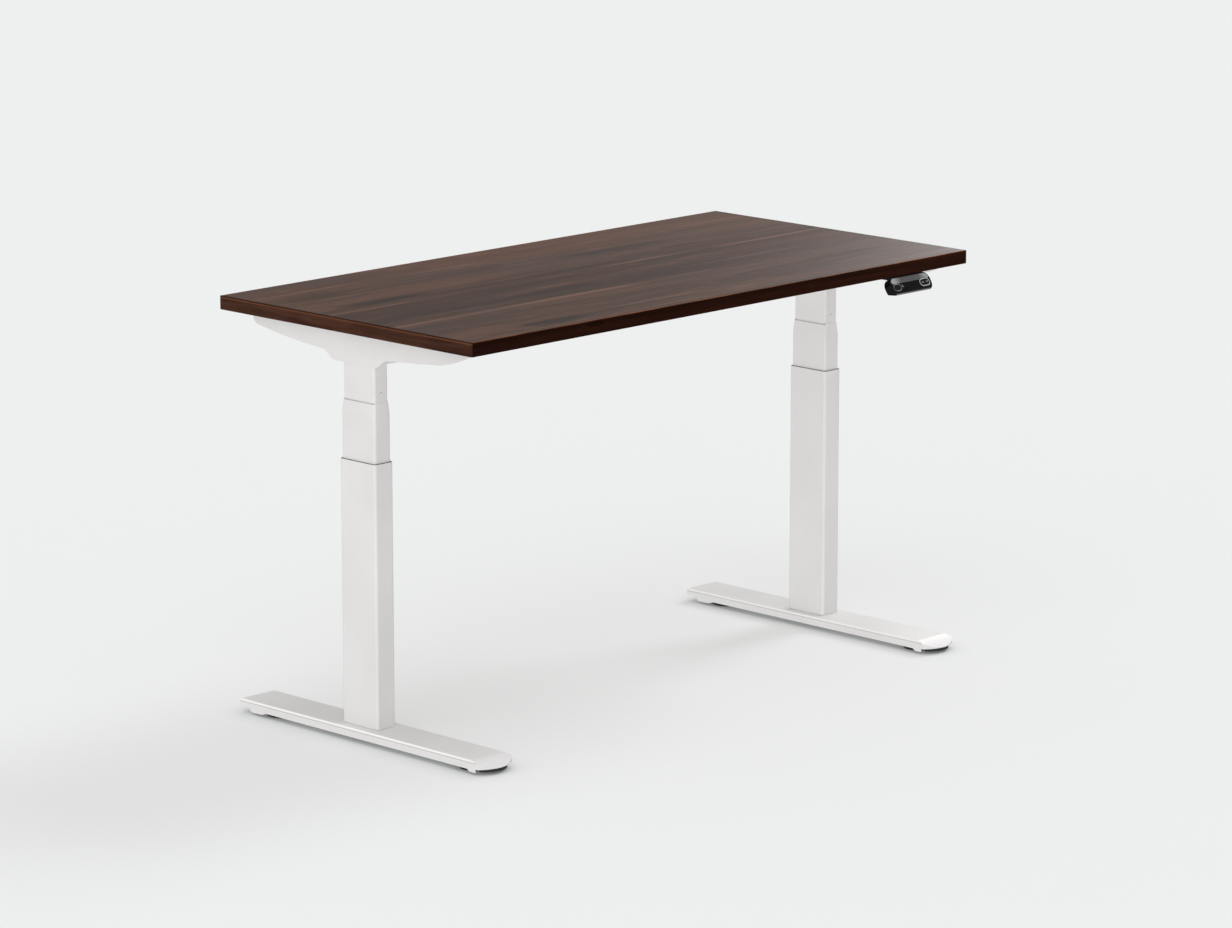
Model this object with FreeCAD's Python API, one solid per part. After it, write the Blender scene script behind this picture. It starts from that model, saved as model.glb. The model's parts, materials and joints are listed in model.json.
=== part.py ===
import FreeCAD, Part
import math
import os

V = FreeCAD.Vector
ORIGIN = V(0, 0, 0)
X_AXIS = V(1, 0, 0)

# Height adjustable desk, in millimetres. +X is the user's right, +Y is away from the user,
# and the floor is z = 0. Right-hand pieces are built first, and left-hand ones mirror them.

# ---- desktop ----
desk_width = 1219.2
desk_depth = 609.6
desk_thickness = 24.0
desk_top_z = 725.0
desk_y = 8.0
desk_under_z = desk_top_z - desk_thickness
band_thickness = 1.2
band_edge_radius = 0.9

# ---- telescopic columns: 0 outer, 1 middle, 2 inner ----
column_x = 556.0
column_y = 12.5
outer_depth = 86.0
outer_width = 42.0
stage_step = 5.5
tube_wall = 2.0
outer_corner = 5.0
corner_step = 0.5
outer_bottom_z = 24.8
outer_top_z = 478.5
middle_bottom_z = 112.0
middle_top_z = 573.0
middle_shift = {"left": 8.0, "right": -8.0}
inner_bottom_z = 200.0
inner_top_z = 650.0
neck_height = 20.0
neck_inset = 2.0
glide_gap = 0.3
bush_depth = 60.0
lip_height = 0.6
lip_inset = 0.75
peg_hole_radius = 2.0
peg_hole_z = 589.0

# ---- lifting screws inside each column ----
running_gap = 0.06
end_play = 0.3
fixed_screw_radius = 5.0
fixed_screw_top_z = 385.0
fixed_screw_head_radius = 8.0
fixed_screw_head = 6.0
fixed_screw_tip_radius = 3.5
fixed_screw_tip = 3.0
drive_flats = 12.5
drive_top_z = 460.0
drive_journal_radius = 7.5
drive_collar_radius = 10.0
drive_collar = 3.0
lower_nut_height = 16.0
drive_bore_radius = 5.5
spindle_radius = 9.0
spindle_bottom_z = 202.0
spindle_bore_top_z = 640.0
spindle_journal_radius = 8.0
spindle_journal_top_z = 687.0
carrier_plate = 8.0
carrier_radius = 12.0
carrier_bore_radius = 10.5
nut_height = 25.0
nut_top_z = 455.0

# ---- feet ----
foot_width = 79.0
foot_top_z = 24.0
foot_wall = 2.0
foot_bevel = 2.8
foot_bevel_round = 1.0
foot_edge_z = 8.5
foot_lobe_z = 4.5
foot_front_y = -283.0
foot_flat_front_y = -274.0
foot_front_corner_z = 15.0
nose_tip_y = -304.0
nose_side_y = -289.0
nose_tip_z = 10.5
nose_mid_y = -291.0
nose_mid_z = 18.8
nose_edge_round = 1.5
pad_side_inset = 10.0
pad_front_inset = 1.0
foot_back_y = 294.0
foot_tail = 20.0
tail_tip_bevel = 1.5
tail_low_z = 12.3
tail_wall = 6.0
back_lobe_start = 9.0
back_lobe_end = 30.0
back_lobe_fade = 50.0
front_lobe_end = 12.0
front_lobe_fade = 21.0
glide_radius = 27.0
glide_height = 6.0
glide_rim_top = 5.0
glide_chamfer = 0.5
glide_neck_radius = 12.0
glide_neck_height = 2.5
glide_stud_radius = 4.0
glide_nut_radius = 9.0
glide_nut_bottom_z = 14.0
glide_y = (-244.0, 230.0)
base_plate_top_z = 32.0
foot_bolt_radius = 4.0
foot_bolt_head_radius = 6.5
foot_bolt_head = 6.0
foot_bolt_dx = 12.5
foot_bolt_dy = 31.0

# ---- side brackets, motor housings and rails ----
web_thickness = 3.0
web_outer_x = 580.0
front_arm_tip = (275.0, 693.0)
front_arm_taper = (240.0, 679.0)
front_arm_outer = (205.0, 669.5)
front_arm_middle = (140.0, 664.0)
back_arm_tip = (250.0, 693.0)
back_arm_taper = (247.0, 684.5)
back_arm_outer = (238.0, 679.5)
back_arm_middle = (165.0, 668.0)
arm_inner = (82.0, 660.0)
hub_half_width = 45.0
hub_bottom_z = 644.0
flange_width = 30.0
flange_start = 75.0
flange_end = 245.0
flange_screw_y = (112.0, 222.0)
housing_inner_x = 420.0
housing_half_depth = 46.0
housing_bottom_z = 646.0
sheet = 2.0
rail_depth = 20.0
rail_bottom_z = 661.0
rail_top_z = 693.0
rail_half_length = 575.0
rail_wall = 1.5
rail_corner = 2.5
rail_bolt_x = (450.0, 550.0)
rail_bolt_z = 678.0
rail_bolt_radius = 3.0
rail_bolt_head_radius = 5.2
rail_bolt_head = 3.2
rail_bolt_socket_radius = 2.0
rail_bolt_socket = 2.0
rail_bolt_nut_radius = 5.0
rail_bolt_nut = 4.5
rail_bolt_end = 5.0

# ---- gearboxes and motors ----
gearbox_outer_x = 574.0
gearbox_inner_x = 516.0
gearbox_half_depth = 28.0
gearbox_top_z = 692.0
gearbox_corner = 6.0
gearbox_cap = 8.0
gearbox_cap_inset = 4.0
gearbox_screw_radius = 1.6
gearbox_screw_inset = 7.0
gearbox_screw_depth = 6.0
motor_radius = 18.0
motor_can_step = 1.0
motor_flange = 8.0
motor_bell = 16.0
motor_end_x = 430.0
motor_z = 674.0
motor_boss_radius = 7.0
motor_boss_end_x = 425.0
grommet_radius = 8.0

# ---- control box ----
box_half_length = 125.0
box_half_depth = 38.0
box_bottom_z = 669.0
box_lid_z = 697.0
box_wall = 2.5
box_corner = 6.0
box_ear = 14.0
box_ear_half = 10.0
box_ear_overlap = 8.0
box_ear_corner = 5.0
vent_count = 9
vent_pitch = 15.0
vent_width = 3.0
vent_half_length = 20.0
inlet_y = 12.5
inlet_z = 683.0
inlet_width = 27.0
inlet_height = 20.0
inlet_depth = 18.0
inlet_wall = 1.5
inlet_rim = 2.0
inlet_rim_width = 2.5
inlet_pin_places = ((-7.0, -2.0), (0.0, 2.5), (7.0, -2.0))
inlet_pin_width = 2.0
inlet_pin_height = 4.0
inlet_pin_setback = 6.0

# ---- handset: a face tilted to look up at the user ----
handset_x = 450.0
handset_width = 105.0
handset_height = 36.0
handset_corner = 16.0
handset_depth = 15.0
handset_lip_radius = 3.0
face_tilt_deg = 32.3
face_origin = V(handset_x, desk_y - 303.0, desk_under_z - 1.5)
face_centre_x = 3.5
face_top = 1.5
handset_rear_front_y = -285.0
handset_rear_y = -227.0
handset_rear_half = 24.0
handset_rear_corner = 4.0
handset_rear_bottom_z = 690.0
handset_screw_inset = 8.0
handset_screw_setback = 14.0
strip_centre = (4.5, -6.5)
strip_size = (97.0, 10.5, 4.0)
strip_depth = 0.8
strip_notch = 1.0
strip_margin = 2.0
display_centre = (2.5, -17.7)
display_size = (39.0, 9.5, 2.0)
display_depth = 1.0
memory_centre = (-33.5, -19.0)
memory_size = (17.0, 9.6, 4.8)
rocker_centre = (38.5, -18.0)
rocker_size = (26.0, 15.0, 7.5)
ring_width = 1.8
button_depth = 3.0
button_pocket = 4.2
button_proud = 0.9
button_gap = 0.25
rocker_split = 0.6

# ---- cables and their clips ----
handset_cable_diameter = 4.0
motor_cable_diameter = 5.0
clip_width = 8.0
clip_wall = 2.0
clip_tab = 9.0
clip_drop = 5.5
cable_z = 697.0
screw_radius = 2.5
screw_head_radius = 4.5
screw_head = 2.5
screw_bite = 16.0
screw_hole_gap = 0.3
pilot_gap = 0.05


# ---- shape helpers ----
def box(x0, x1, y0, y1, z0, z1):
    """Box between two corners."""
    return Part.makeBox(x1 - x0, y1 - y0, z1 - z0, V(x0, y0, z0))


def rod(radius, start, end):
    """Round bar between two points."""
    return Part.makeCylinder(radius, (end - start).Length, start, end - start)


def post(radius, x, y, z0, z1):
    """Upright round bar."""
    return rod(radius, V(x, y, z0), V(x, y, z1))


def rounded_face(cx, cy, width, depth, corner):
    """Rounded rectangle in the XY plane."""
    hx = width / 2 - corner
    hy = depth / 2 - corner
    diagonal = corner * math.sqrt(0.5)
    edges = []
    for sx, sy in ((1, 1), (-1, 1), (-1, -1), (1, -1)):
        centre = V(cx + sx * hx, cy + sy * hy, 0)
        along_x = centre + V(sx * corner, 0, 0)
        along_y = centre + V(0, sy * corner, 0)
        middle = centre + V(sx * diagonal, sy * diagonal, 0)
        first, last = (along_x, along_y) if sx * sy > 0 else (along_y, along_x)
        if edges and (edges[-1].Vertexes[-1].Point - first).Length > 1e-6:
            edges.append(Part.makeLine(edges[-1].Vertexes[-1].Point, first))
        edges.append(Part.Arc(first, middle, last).toShape())
    if (edges[-1].Vertexes[-1].Point - edges[0].Vertexes[0].Point).Length > 1e-6:
        edges.append(Part.makeLine(edges[-1].Vertexes[-1].Point, edges[0].Vertexes[0].Point))
    return Part.Face(Part.Wire(edges))


def rounded_block(cx, cy, width, depth, corner, z0, z1):
    """Upright block of rounded-rectangle section."""
    block = rounded_face(cx, cy, width, depth, corner).extrude(V(0, 0, z1 - z0))
    block.translate(V(0, 0, z0))
    return block


def hexagon_block(x, y, across_flats, z0, z1):
    """Upright hexagonal bar."""
    reach = across_flats / 2 / math.cos(math.pi / 6)
    corners = [V(x + reach * math.cos(k * math.pi / 3), y + reach * math.sin(k * math.pi / 3), z0)
               for k in range(7)]
    return Part.Face(Part.makePolygon(corners)).extrude(V(0, 0, z1 - z0))


def plate_from_edges(edges, x0, x1):
    """Plate of a closed outline drawn in the YZ plane, from x0 to x1."""
    plate = Part.Face(Part.Wire(edges)).extrude(V(x1 - x0, 0, 0))
    plate.translate(V(x0, 0, 0))
    return plate


def yz_line(a, b):
    """Straight edge in the YZ plane."""
    return Part.makeLine(V(0, a[0], a[1]), V(0, b[0], b[1]))


def yz_arc(a, b, c):
    """Circular edge in the YZ plane through three points."""
    return Part.Arc(V(0, a[0], a[1]), V(0, b[0], b[1]), V(0, c[0], c[1])).toShape()


def yz_ease(a, b):
    """S-shaped edge in the YZ plane, level at both ends."""
    middle = (a[0] + b[0]) / 2
    curve = Part.BezierCurve()
    curve.setPoles([V(0, a[0], a[1]), V(0, middle, a[1]), V(0, middle, b[1]), V(0, b[0], b[1])])
    return curve.toShape()


def on_side(shape, side):
    """A right-hand shape, or its mirror image for the left."""
    return shape if side == "right" else shape.mirror(ORIGIN, X_AXIS)


def save(name, *solids):
    """Write one node, whose solids stay separate."""
    shape = solids[0] if len(solids) == 1 else Part.makeCompound(list(solids))
    shape.exportStep(f"parts/{name}.step")


def socket_screw(x, y, head_z, tip_z, radius, head_radius, head_height):
    """Upright screw with its head below, and a hexagonal socket in the head."""
    head = post(head_radius, x, y, head_z - head_height, head_z)
    screw = head.fuse(post(radius, x, y, head_z, tip_z))
    return screw.cut(hexagon_block(x, y, head_radius, head_z - head_height, head_z - head_height / 3))


# ---- column tubes ----
def stage_size(stage):
    """Width along X, depth along Y and corner radius of a tube stage."""
    return (outer_width - stage * stage_step,
            outer_depth - stage * stage_step,
            outer_corner - stage * corner_step)


def stage_block(stage, grow, z0, z1):
    """Solid block of a stage's section, grown or shrunk all round."""
    width, depth, corner = stage_size(stage)
    radius = max(corner + grow, 1.0)
    return rounded_block(column_x, column_y, width + 2 * grow, depth + 2 * grow, radius, z0, z1)


def stage_tube(stage, z0, z1):
    """Plain rectangular tube of a stage."""
    return stage_block(stage, 0, z0, z1).cut(stage_block(stage, -tube_wall, z0 - 1, z1 + 1))


def outer_tube():
    return stage_tube(0, outer_bottom_z, outer_top_z)


def middle_tube():
    """Middle stage, whose mouth closes in to a neck just clear of the inner stage."""
    neck_z = middle_top_z - neck_height
    plain = stage_tube(1, middle_bottom_z, neck_z)
    width, depth, corner = stage_size(1)
    root = rounded_face(column_x, column_y, width, depth, corner).OuterWire
    root.translate(V(0, 0, neck_z))
    tip = rounded_face(column_x, column_y, width - 2 * neck_inset, depth - 2 * neck_inset,
                       corner).OuterWire
    tip.translate(V(0, 0, middle_top_z))
    neck = Part.makeLoft([root, tip], True, True)
    bore = stage_block(2, glide_gap, neck_z - 1, middle_top_z + 1)
    return plain.fuse(neck.cut(bore)).removeSplitter()


def inner_tube(peg_z):
    """Inner stage, with a small stop-screw hole in its front face."""
    tube = stage_tube(2, inner_bottom_z, inner_top_z)
    front = V(column_x, column_y - outer_depth / 2, peg_z)
    return tube.cut(rod(peg_hole_radius, front, front + V(0, outer_depth / 4, 0)))


def bush(stage, top_z, lip):
    """Plastic liner in a tube for the next stage to slide in, with a lip on the tube's rim."""
    sleeve = stage_block(stage, -tube_wall, top_z - bush_depth, top_z)
    if lip > 0:
        sleeve = sleeve.fuse(stage_block(stage, -lip_inset, top_z, top_z + lip))
    return sleeve.cut(stage_block(stage + 1, glide_gap, top_z - bush_depth - 1, top_z + lip + 1))


# ---- lifting screws ----
def fixed_screw():
    """Screw that stands on the foot and never turns."""
    screw_top = V(column_x, column_y, fixed_screw_top_z)
    screw = post(fixed_screw_radius, column_x, column_y, foot_top_z - foot_wall, fixed_screw_top_z)
    head_z = foot_top_z - foot_wall
    head = post(fixed_screw_head_radius, column_x, column_y, head_z - fixed_screw_head, head_z)
    tip = Part.makeCone(fixed_screw_radius, fixed_screw_tip_radius, fixed_screw_tip, screw_top)
    return screw.fuse(head).fuse(tip)


def drive_tube():
    """Hexagonal tube that turns in the middle stage and climbs the fixed screw."""
    x, y = column_x, column_y
    plate_low_z = middle_bottom_z - end_play
    plate_high_z = middle_bottom_z + carrier_plate + end_play
    nut_z = plate_low_z - drive_collar
    tube = hexagon_block(x, y, drive_flats, plate_high_z, drive_top_z)
    journal = post(drive_journal_radius, x, y, plate_low_z, plate_high_z)
    upper = post(drive_collar_radius, x, y, plate_high_z, plate_high_z + drive_collar)
    lower = post(drive_collar_radius, x, y, nut_z, plate_low_z)
    bore = post(fixed_screw_radius + running_gap, x, y, nut_z - 1, nut_z + lower_nut_height)
    relief = post(drive_bore_radius, x, y, nut_z + lower_nut_height, drive_top_z + 1)
    return tube.fuse([journal, upper, lower]).cut(bore).cut(relief)


def nut_carrier():
    """Plate in the foot of the middle stage, with a tube that carries the upper nut."""
    plate = stage_block(1, -tube_wall, middle_bottom_z, middle_bottom_z + carrier_plate)
    plate = plate.cut(post(drive_journal_radius + running_gap, column_x, column_y,
                           middle_bottom_z - 1, middle_bottom_z + carrier_plate + 1))
    z0, z1 = middle_bottom_z + carrier_plate, nut_top_z - nut_height
    tube = post(carrier_radius, column_x, column_y, z0, z1)
    bore = post(carrier_bore_radius, column_x, column_y, z0, z1)
    return plate.fuse(tube.cut(bore))


def spindle_nut():
    """Nut on the carrier, in which the upper spindle turns."""
    z0 = nut_top_z - nut_height
    body = post(carrier_radius, column_x, column_y, z0, nut_top_z)
    return body.cut(post(spindle_radius + running_gap, column_x, column_y, z0 - 1, nut_top_z + 1))


def upper_spindle():
    """Hollow spindle that hangs from the gearbox and turns the drive tube inside it."""
    x, y = column_x, column_y
    body = post(spindle_radius, x, y, spindle_bottom_z, inner_top_z - end_play)
    journal = post(spindle_journal_radius, x, y, inner_top_z - end_play, spindle_journal_top_z)
    bore = hexagon_block(x, y, drive_flats + 2 * glide_gap, spindle_bottom_z - 1, spindle_bore_top_z)
    return body.fuse(journal).cut(bore)


# ---- feet ----
def foot_side_edges():
    """Outline of the foot's side wall: a shallow channel with a lobe near each end."""
    tail_root_y = foot_back_y - foot_tail
    corner = foot_flat_front_y - foot_front_y
    front_arc_y = foot_flat_front_y - corner * math.sqrt(0.5)
    front_arc_z = foot_front_corner_z + (foot_top_z - foot_front_corner_z) * math.sqrt(0.5)
    points = {
        "front_low": (foot_front_y, foot_lobe_z),
        "front_high": (foot_front_y, foot_front_corner_z),
        "flat_front": (foot_flat_front_y, foot_top_z),
        "flat_back": (foot_back_y - tail_tip_bevel, foot_top_z),
        "tip_high": (foot_back_y, foot_top_z - tail_tip_bevel),
        "tip_low": (foot_back_y, tail_low_z),
        "tail_root": (tail_root_y, tail_low_z),
        "back_lobe_outer": (tail_root_y - back_lobe_start, foot_lobe_z),
        "back_lobe_inner": (tail_root_y - back_lobe_end, foot_lobe_z),
        "edge_back": (tail_root_y - back_lobe_fade, foot_edge_z),
        "edge_front": (foot_front_y + front_lobe_fade, foot_edge_z),
        "front_lobe_inner": (foot_front_y + front_lobe_end, foot_lobe_z),
    }
    p = points
    return [
        yz_line(p["front_low"], p["front_high"]),
        yz_arc(p["front_high"], (front_arc_y, front_arc_z), p["flat_front"]),
        yz_line(p["flat_front"], p["flat_back"]),
        yz_line(p["flat_back"], p["tip_high"]),
        yz_line(p["tip_high"], p["tip_low"]),
        yz_line(p["tip_low"], p["tail_root"]),
        yz_ease(p["tail_root"], p["back_lobe_outer"]),
        yz_line(p["back_lobe_outer"], p["back_lobe_inner"]),
        yz_ease(p["back_lobe_inner"], p["edge_back"]),
        yz_line(p["edge_back"], p["edge_front"]),
        yz_ease(p["edge_front"], p["front_lobe_inner"]),
        yz_line(p["front_lobe_inner"], p["front_low"]),
    ]


def foot_section():
    """Long block of the foot's cross-section, with bevelled top edges."""
    half = foot_width / 2
    bevel_x = half - foot_bevel
    bevel_z = foot_top_z - foot_bevel
    outline = [(-half, 0), (half, 0), (half, bevel_z), (bevel_x, foot_top_z),
               (-bevel_x, foot_top_z), (-half, bevel_z), (-half, 0)]
    corners = [V(column_x + x, nose_tip_y - 5, z) for x, z in outline]
    block = Part.Face(Part.makePolygon(corners)).extrude(V(0, foot_back_y - nose_tip_y + 10, 0))
    long_edges = [e for e in block.Edges
                  if abs(e.tangentAt(e.FirstParameter).y) > 0.99 and e.BoundBox.ZMin > 1]
    return block.makeFillet(foot_bevel_round, long_edges)


def foot():
    """Pressed steel foot: an inverted channel with nuts for its two levelling glides."""
    half = foot_width / 2
    inner_half = half - foot_wall
    x0, x1 = column_x - inner_half, column_x + inner_half
    body = plate_from_edges(foot_side_edges(), column_x - half, column_x + half)
    body = body.common(foot_section())
    cavity_back_y = foot_back_y - foot_tail - tail_wall
    cavity = box(x0, x1, foot_front_y - 1, cavity_back_y, 0, foot_top_z - foot_wall)
    mouth = box(x0, x1, foot_front_y - 1, foot_flat_front_y, 0, foot_top_z + 1)
    body = body.cut(cavity.fuse(mouth))
    for y in glide_y:
        nut = post(glide_nut_radius, column_x, y, glide_nut_bottom_z, foot_top_z - foot_wall)
        body = body.fuse(nut)
        body = body.cut(post(glide_stud_radius + 0.1, column_x, y, 0, foot_top_z - foot_wall - 1))
    for x, y in foot_bolt_places():
        body = body.cut(post(foot_bolt_radius + 0.2, x, y, 0, foot_top_z + 1))
    body = body.cut(post(fixed_screw_radius + 0.1, column_x, column_y, 0, foot_top_z + 1))
    return body


def nose_plan(side_inset, front_inset):
    """Plan outline of the nose: straight sides and a bowed front."""
    half = foot_width / 2 - side_inset
    tip, side = nose_tip_y + front_inset, nose_side_y + front_inset
    corners = [V(column_x - half, foot_front_y, 0), V(column_x - half, side, 0),
               V(column_x + half, side, 0), V(column_x + half, foot_front_y, 0)]
    front = Part.Arc(corners[1], V(column_x, tip, 0), corners[2]).toShape()
    return Part.Face(Part.Wire([
        Part.makeLine(corners[0], corners[1]),
        front,
        Part.makeLine(corners[2], corners[3]),
        Part.makeLine(corners[3], corners[0]),
    ]))


def nose_cap():
    """Moulded cap that closes the foot's front and slopes down to its tip."""
    inner_half = foot_width / 2 - foot_wall
    half = foot_width / 2
    slope = yz_arc((foot_flat_front_y, foot_top_z), (nose_mid_y, nose_mid_z), (nose_tip_y, nose_tip_z))
    edges = [
        slope,
        yz_line((nose_tip_y, nose_tip_z), (foot_flat_front_y, nose_tip_z)),
        yz_line((foot_flat_front_y, nose_tip_z), (foot_flat_front_y, foot_top_z)),
    ]
    wedge = plate_from_edges(edges, column_x - half, column_x + half)
    outside = wedge.common(nose_plan(0, 0).extrude(V(0, 0, foot_top_z)))
    inside = wedge.common(box(column_x - inner_half, column_x + inner_half,
                              foot_front_y, foot_flat_front_y, 0, foot_top_z))
    cap = outside.fuse(inside).removeSplitter()
    upright = [e for e in cap.Edges
               if abs(e.BoundBox.YMax - nose_side_y) < 0.01 and e.BoundBox.XLength < 0.01
               and e.BoundBox.YLength < 0.01]
    return cap.makeFillet(nose_edge_round, upright)


def nose_pad():
    """Rubber pad under the nose cap, set back a little from its front and well in from its sides."""
    pad = nose_plan(pad_side_inset, pad_front_inset).extrude(V(0, 0, nose_tip_z - foot_lobe_z))
    pad.translate(V(0, 0, foot_lobe_z))
    return pad


def levelling_glide(y):
    """Screw-in foot disc with a stud."""
    x = column_x
    disc = Part.makeCone(glide_radius - glide_chamfer, glide_radius, glide_chamfer, V(x, y, 0))
    rim = post(glide_radius, x, y, glide_chamfer, glide_rim_top)
    shoulder = Part.makeCone(glide_radius, glide_neck_radius, glide_neck_height, V(x, y, glide_rim_top))
    stud = post(glide_stud_radius, x, y, glide_height, foot_top_z - 2 * foot_wall)
    return disc.fuse([rim, shoulder, stud])


def foot_bolt_places():
    """The four bolts that hold a column to its foot."""
    return [(column_x + sx * foot_bolt_dx, column_y + sy * foot_bolt_dy)
            for sx in (-1, 1) for sy in (-1, 1)]


def base_plate():
    """Tapped plate welded inside the bottom of the outer tube."""
    plate = stage_block(0, -tube_wall, foot_top_z, base_plate_top_z)
    for x, y in foot_bolt_places():
        plate = plate.cut(post(foot_bolt_radius + pilot_gap, x, y, foot_top_z - 1, base_plate_top_z + 1))
    return plate.cut(post(fixed_screw_radius + pilot_gap, column_x, column_y,
                          foot_top_z - 1, base_plate_top_z + 1))


def foot_bolts():
    """Bolts from inside a foot up into its base plate."""
    head_z = foot_top_z - foot_wall
    return [socket_screw(x, y, head_z, base_plate_top_z, foot_bolt_radius,
                         foot_bolt_head_radius, foot_bolt_head)
            for x, y in foot_bolt_places()]


# ---- desktop ----
def desk_block(inset, z0, z1):
    """Block of the desktop's outline, set in from its edges."""
    return box(-desk_width / 2 + inset, desk_width / 2 - inset,
               desk_y - desk_depth / 2 + inset, desk_y + desk_depth / 2 - inset, z0, z1)


def desktop_panel():
    """Board between the edge bands, with pilot holes underneath."""
    panel = desk_block(band_thickness, desk_under_z, desk_top_z)
    holes = [post(screw_radius + pilot_gap, x, y, desk_under_z - 1, desk_under_z + screw_bite + 1)
             for x, y, _ in screw_places()]
    return panel.cut(holes)


def edge_banding():
    """Wood band round the board's four sides, with eased edges."""
    block = desk_block(0, desk_under_z, desk_top_z)
    rims = [e for e in block.Edges if e.BoundBox.ZLength < 0.01]
    block = block.makeFillet(band_edge_radius, rims)
    return block.cut(desk_block(band_thickness, desk_under_z - 1, desk_top_z + 1))


def screw_places():
    """Every screw into the board, as x, y and the height of the surface under its head."""
    places = []
    flange_z = desk_under_z - web_thickness
    for sx in (-1, 1):
        for sy in (-1, 1):
            for reach in flange_screw_y:
                x = sx * (web_outer_x - web_thickness - flange_width / 2)
                places.append((x, column_y + sy * reach, flange_z))
        for sy in (-1, 1):
            x = sx * (box_half_length + box_ear / 2)
            places.append((x, column_y + sy * (box_half_depth - box_ear_half), box_lid_z))
    places += [(x, y, handset_rear_bottom_z) for x, y in handset_screw_places()]
    for x, y, _, direction in clip_places():
        sx, sy = clip_tab_offset(direction)
        places.append((x + sx, y + sy, desk_under_z - clip_wall))
    return places


def desktop_screws():
    return [socket_screw(x, y, z, desk_under_z + screw_bite, screw_radius, screw_head_radius, screw_head)
            for x, y, z in screw_places()]


# ---- brackets, housings and rails ----
def bracket_arm_edges(sign, tip, taper, outer, middle):
    """Lower outline of the bracket's front (-1) or back (1) arm, from the tip in to the hub."""
    def at(point):
        return (column_y + sign * point[0], point[1])
    hub = (hub_half_width, hub_bottom_z)
    throat_y = (arm_inner[0] + hub[0]) / 2
    poles = [arm_inner, (throat_y, arm_inner[1]), (throat_y, hub[1]), hub]
    curve = Part.BezierCurve()
    curve.setPoles([V(0, *at(pole)) for pole in poles])
    return [
        yz_line(at((tip[0], desk_under_z)), at(tip)),
        yz_arc(at(tip), at(taper), at(outer)),
        yz_arc(at(outer), at(middle), at(arm_inner)),
        curve.toShape(),
    ]


def side_bracket():
    """Steel web under the desktop's end, with two inward flanges for screws."""
    front = bracket_arm_edges(-1, front_arm_tip, front_arm_taper, front_arm_outer, front_arm_middle)
    back = bracket_arm_edges(1, back_arm_tip, back_arm_taper, back_arm_outer, back_arm_middle)
    hub_line = yz_line((column_y - hub_half_width, hub_bottom_z), (column_y + hub_half_width, hub_bottom_z))
    top_line = yz_line((column_y + back_arm_tip[0], desk_under_z),
                       (column_y - front_arm_tip[0], desk_under_z))
    outline = Part.__sortEdges__(front + [hub_line] + back + [top_line])
    inner_x = web_outer_x - web_thickness
    web = plate_from_edges(outline, inner_x, web_outer_x)
    flange_z = desk_under_z - web_thickness
    for sy in (-1, 1):
        y0, y1 = sorted((column_y + sy * flange_start, column_y + sy * flange_end))
        flange = box(inner_x - flange_width, inner_x, y0, y1, flange_z, desk_under_z)
        for reach in flange_screw_y:
            flange = flange.cut(post(screw_radius + screw_hole_gap, inner_x - flange_width / 2,
                                     column_y + sy * reach, flange_z - 1, desk_under_z + 1))
        web = web.fuse(flange)
    return web.removeSplitter()


def rail_bolt_places():
    """Bolts through both rails into one motor housing, as x and the side of the column."""
    return [(x, sy) for x in rail_bolt_x for sy in (-1, 1)]


def motor_housing():
    """Folded box on top of a column, open to the board, round the gearbox and motor."""
    outer_x = web_outer_x - web_thickness
    y0, y1 = column_y - housing_half_depth, column_y + housing_half_depth
    shell = box(housing_inner_x, outer_x, y0, y1, housing_bottom_z, desk_under_z)
    shell = shell.cut(box(housing_inner_x + sheet, outer_x - sheet, y0 + sheet, y1 - sheet,
                          housing_bottom_z + sheet, desk_under_z + 1))
    shell = shell.cut(stage_block(2, 0, housing_bottom_z - 1, housing_bottom_z + sheet + 1))
    shell = shell.cut(rod(grommet_radius, V(housing_inner_x - 1, column_y, motor_z),
                          V(housing_inner_x + sheet + 1, column_y, motor_z)))
    for x, sy in rail_bolt_places():
        near, far = column_y + sy * (housing_half_depth - 5), column_y + sy * (housing_half_depth + 5)
        shell = shell.cut(rod(rail_bolt_radius + 0.2, V(x, near, rail_bolt_z), V(x, far, rail_bolt_z)))
    return shell


def rail(sy):
    """Square tube from one side bracket to the other."""
    near = column_y + sy * housing_half_depth
    far = near + sy * rail_depth
    y0, y1 = sorted((near, far))
    tube = box(-rail_half_length, rail_half_length, y0, y1, rail_bottom_z, rail_top_z)
    tube = tube.makeFillet(rail_corner, [e for e in tube.Edges if e.BoundBox.XLength > 100])
    hollow = box(-rail_half_length - 1, rail_half_length + 1, y0 + rail_wall, y1 - rail_wall,
                 rail_bottom_z + rail_wall, rail_top_z - rail_wall)
    tube = tube.cut(hollow)
    for sx in (-1, 1):
        for x in rail_bolt_x:
            start, end = V(sx * x, y0 - 1, rail_bolt_z), V(sx * x, y1 + 1, rail_bolt_z)
            tube = tube.cut(rod(rail_bolt_radius + 0.2, start, end))
    return tube


def rail_bolt(x, sy):
    """Button-head bolt through a rail and a housing wall, with its nut."""
    def at(reach):
        return V(x, column_y + sy * reach, rail_bolt_z)
    face = housing_half_depth + rail_depth
    head_top = face + rail_bolt_head
    inside = housing_half_depth - sheet
    head = rod(rail_bolt_head_radius, at(face), at(head_top))
    recess = rod(rail_bolt_socket_radius, at(head_top - rail_bolt_socket), at(head_top))
    shank = rod(rail_bolt_radius, at(inside - rail_bolt_end), at(face))
    nut = rod(rail_bolt_nut_radius, at(inside - rail_bolt_nut), at(inside))
    return head.cut(recess).fuse([shank, nut])


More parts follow.
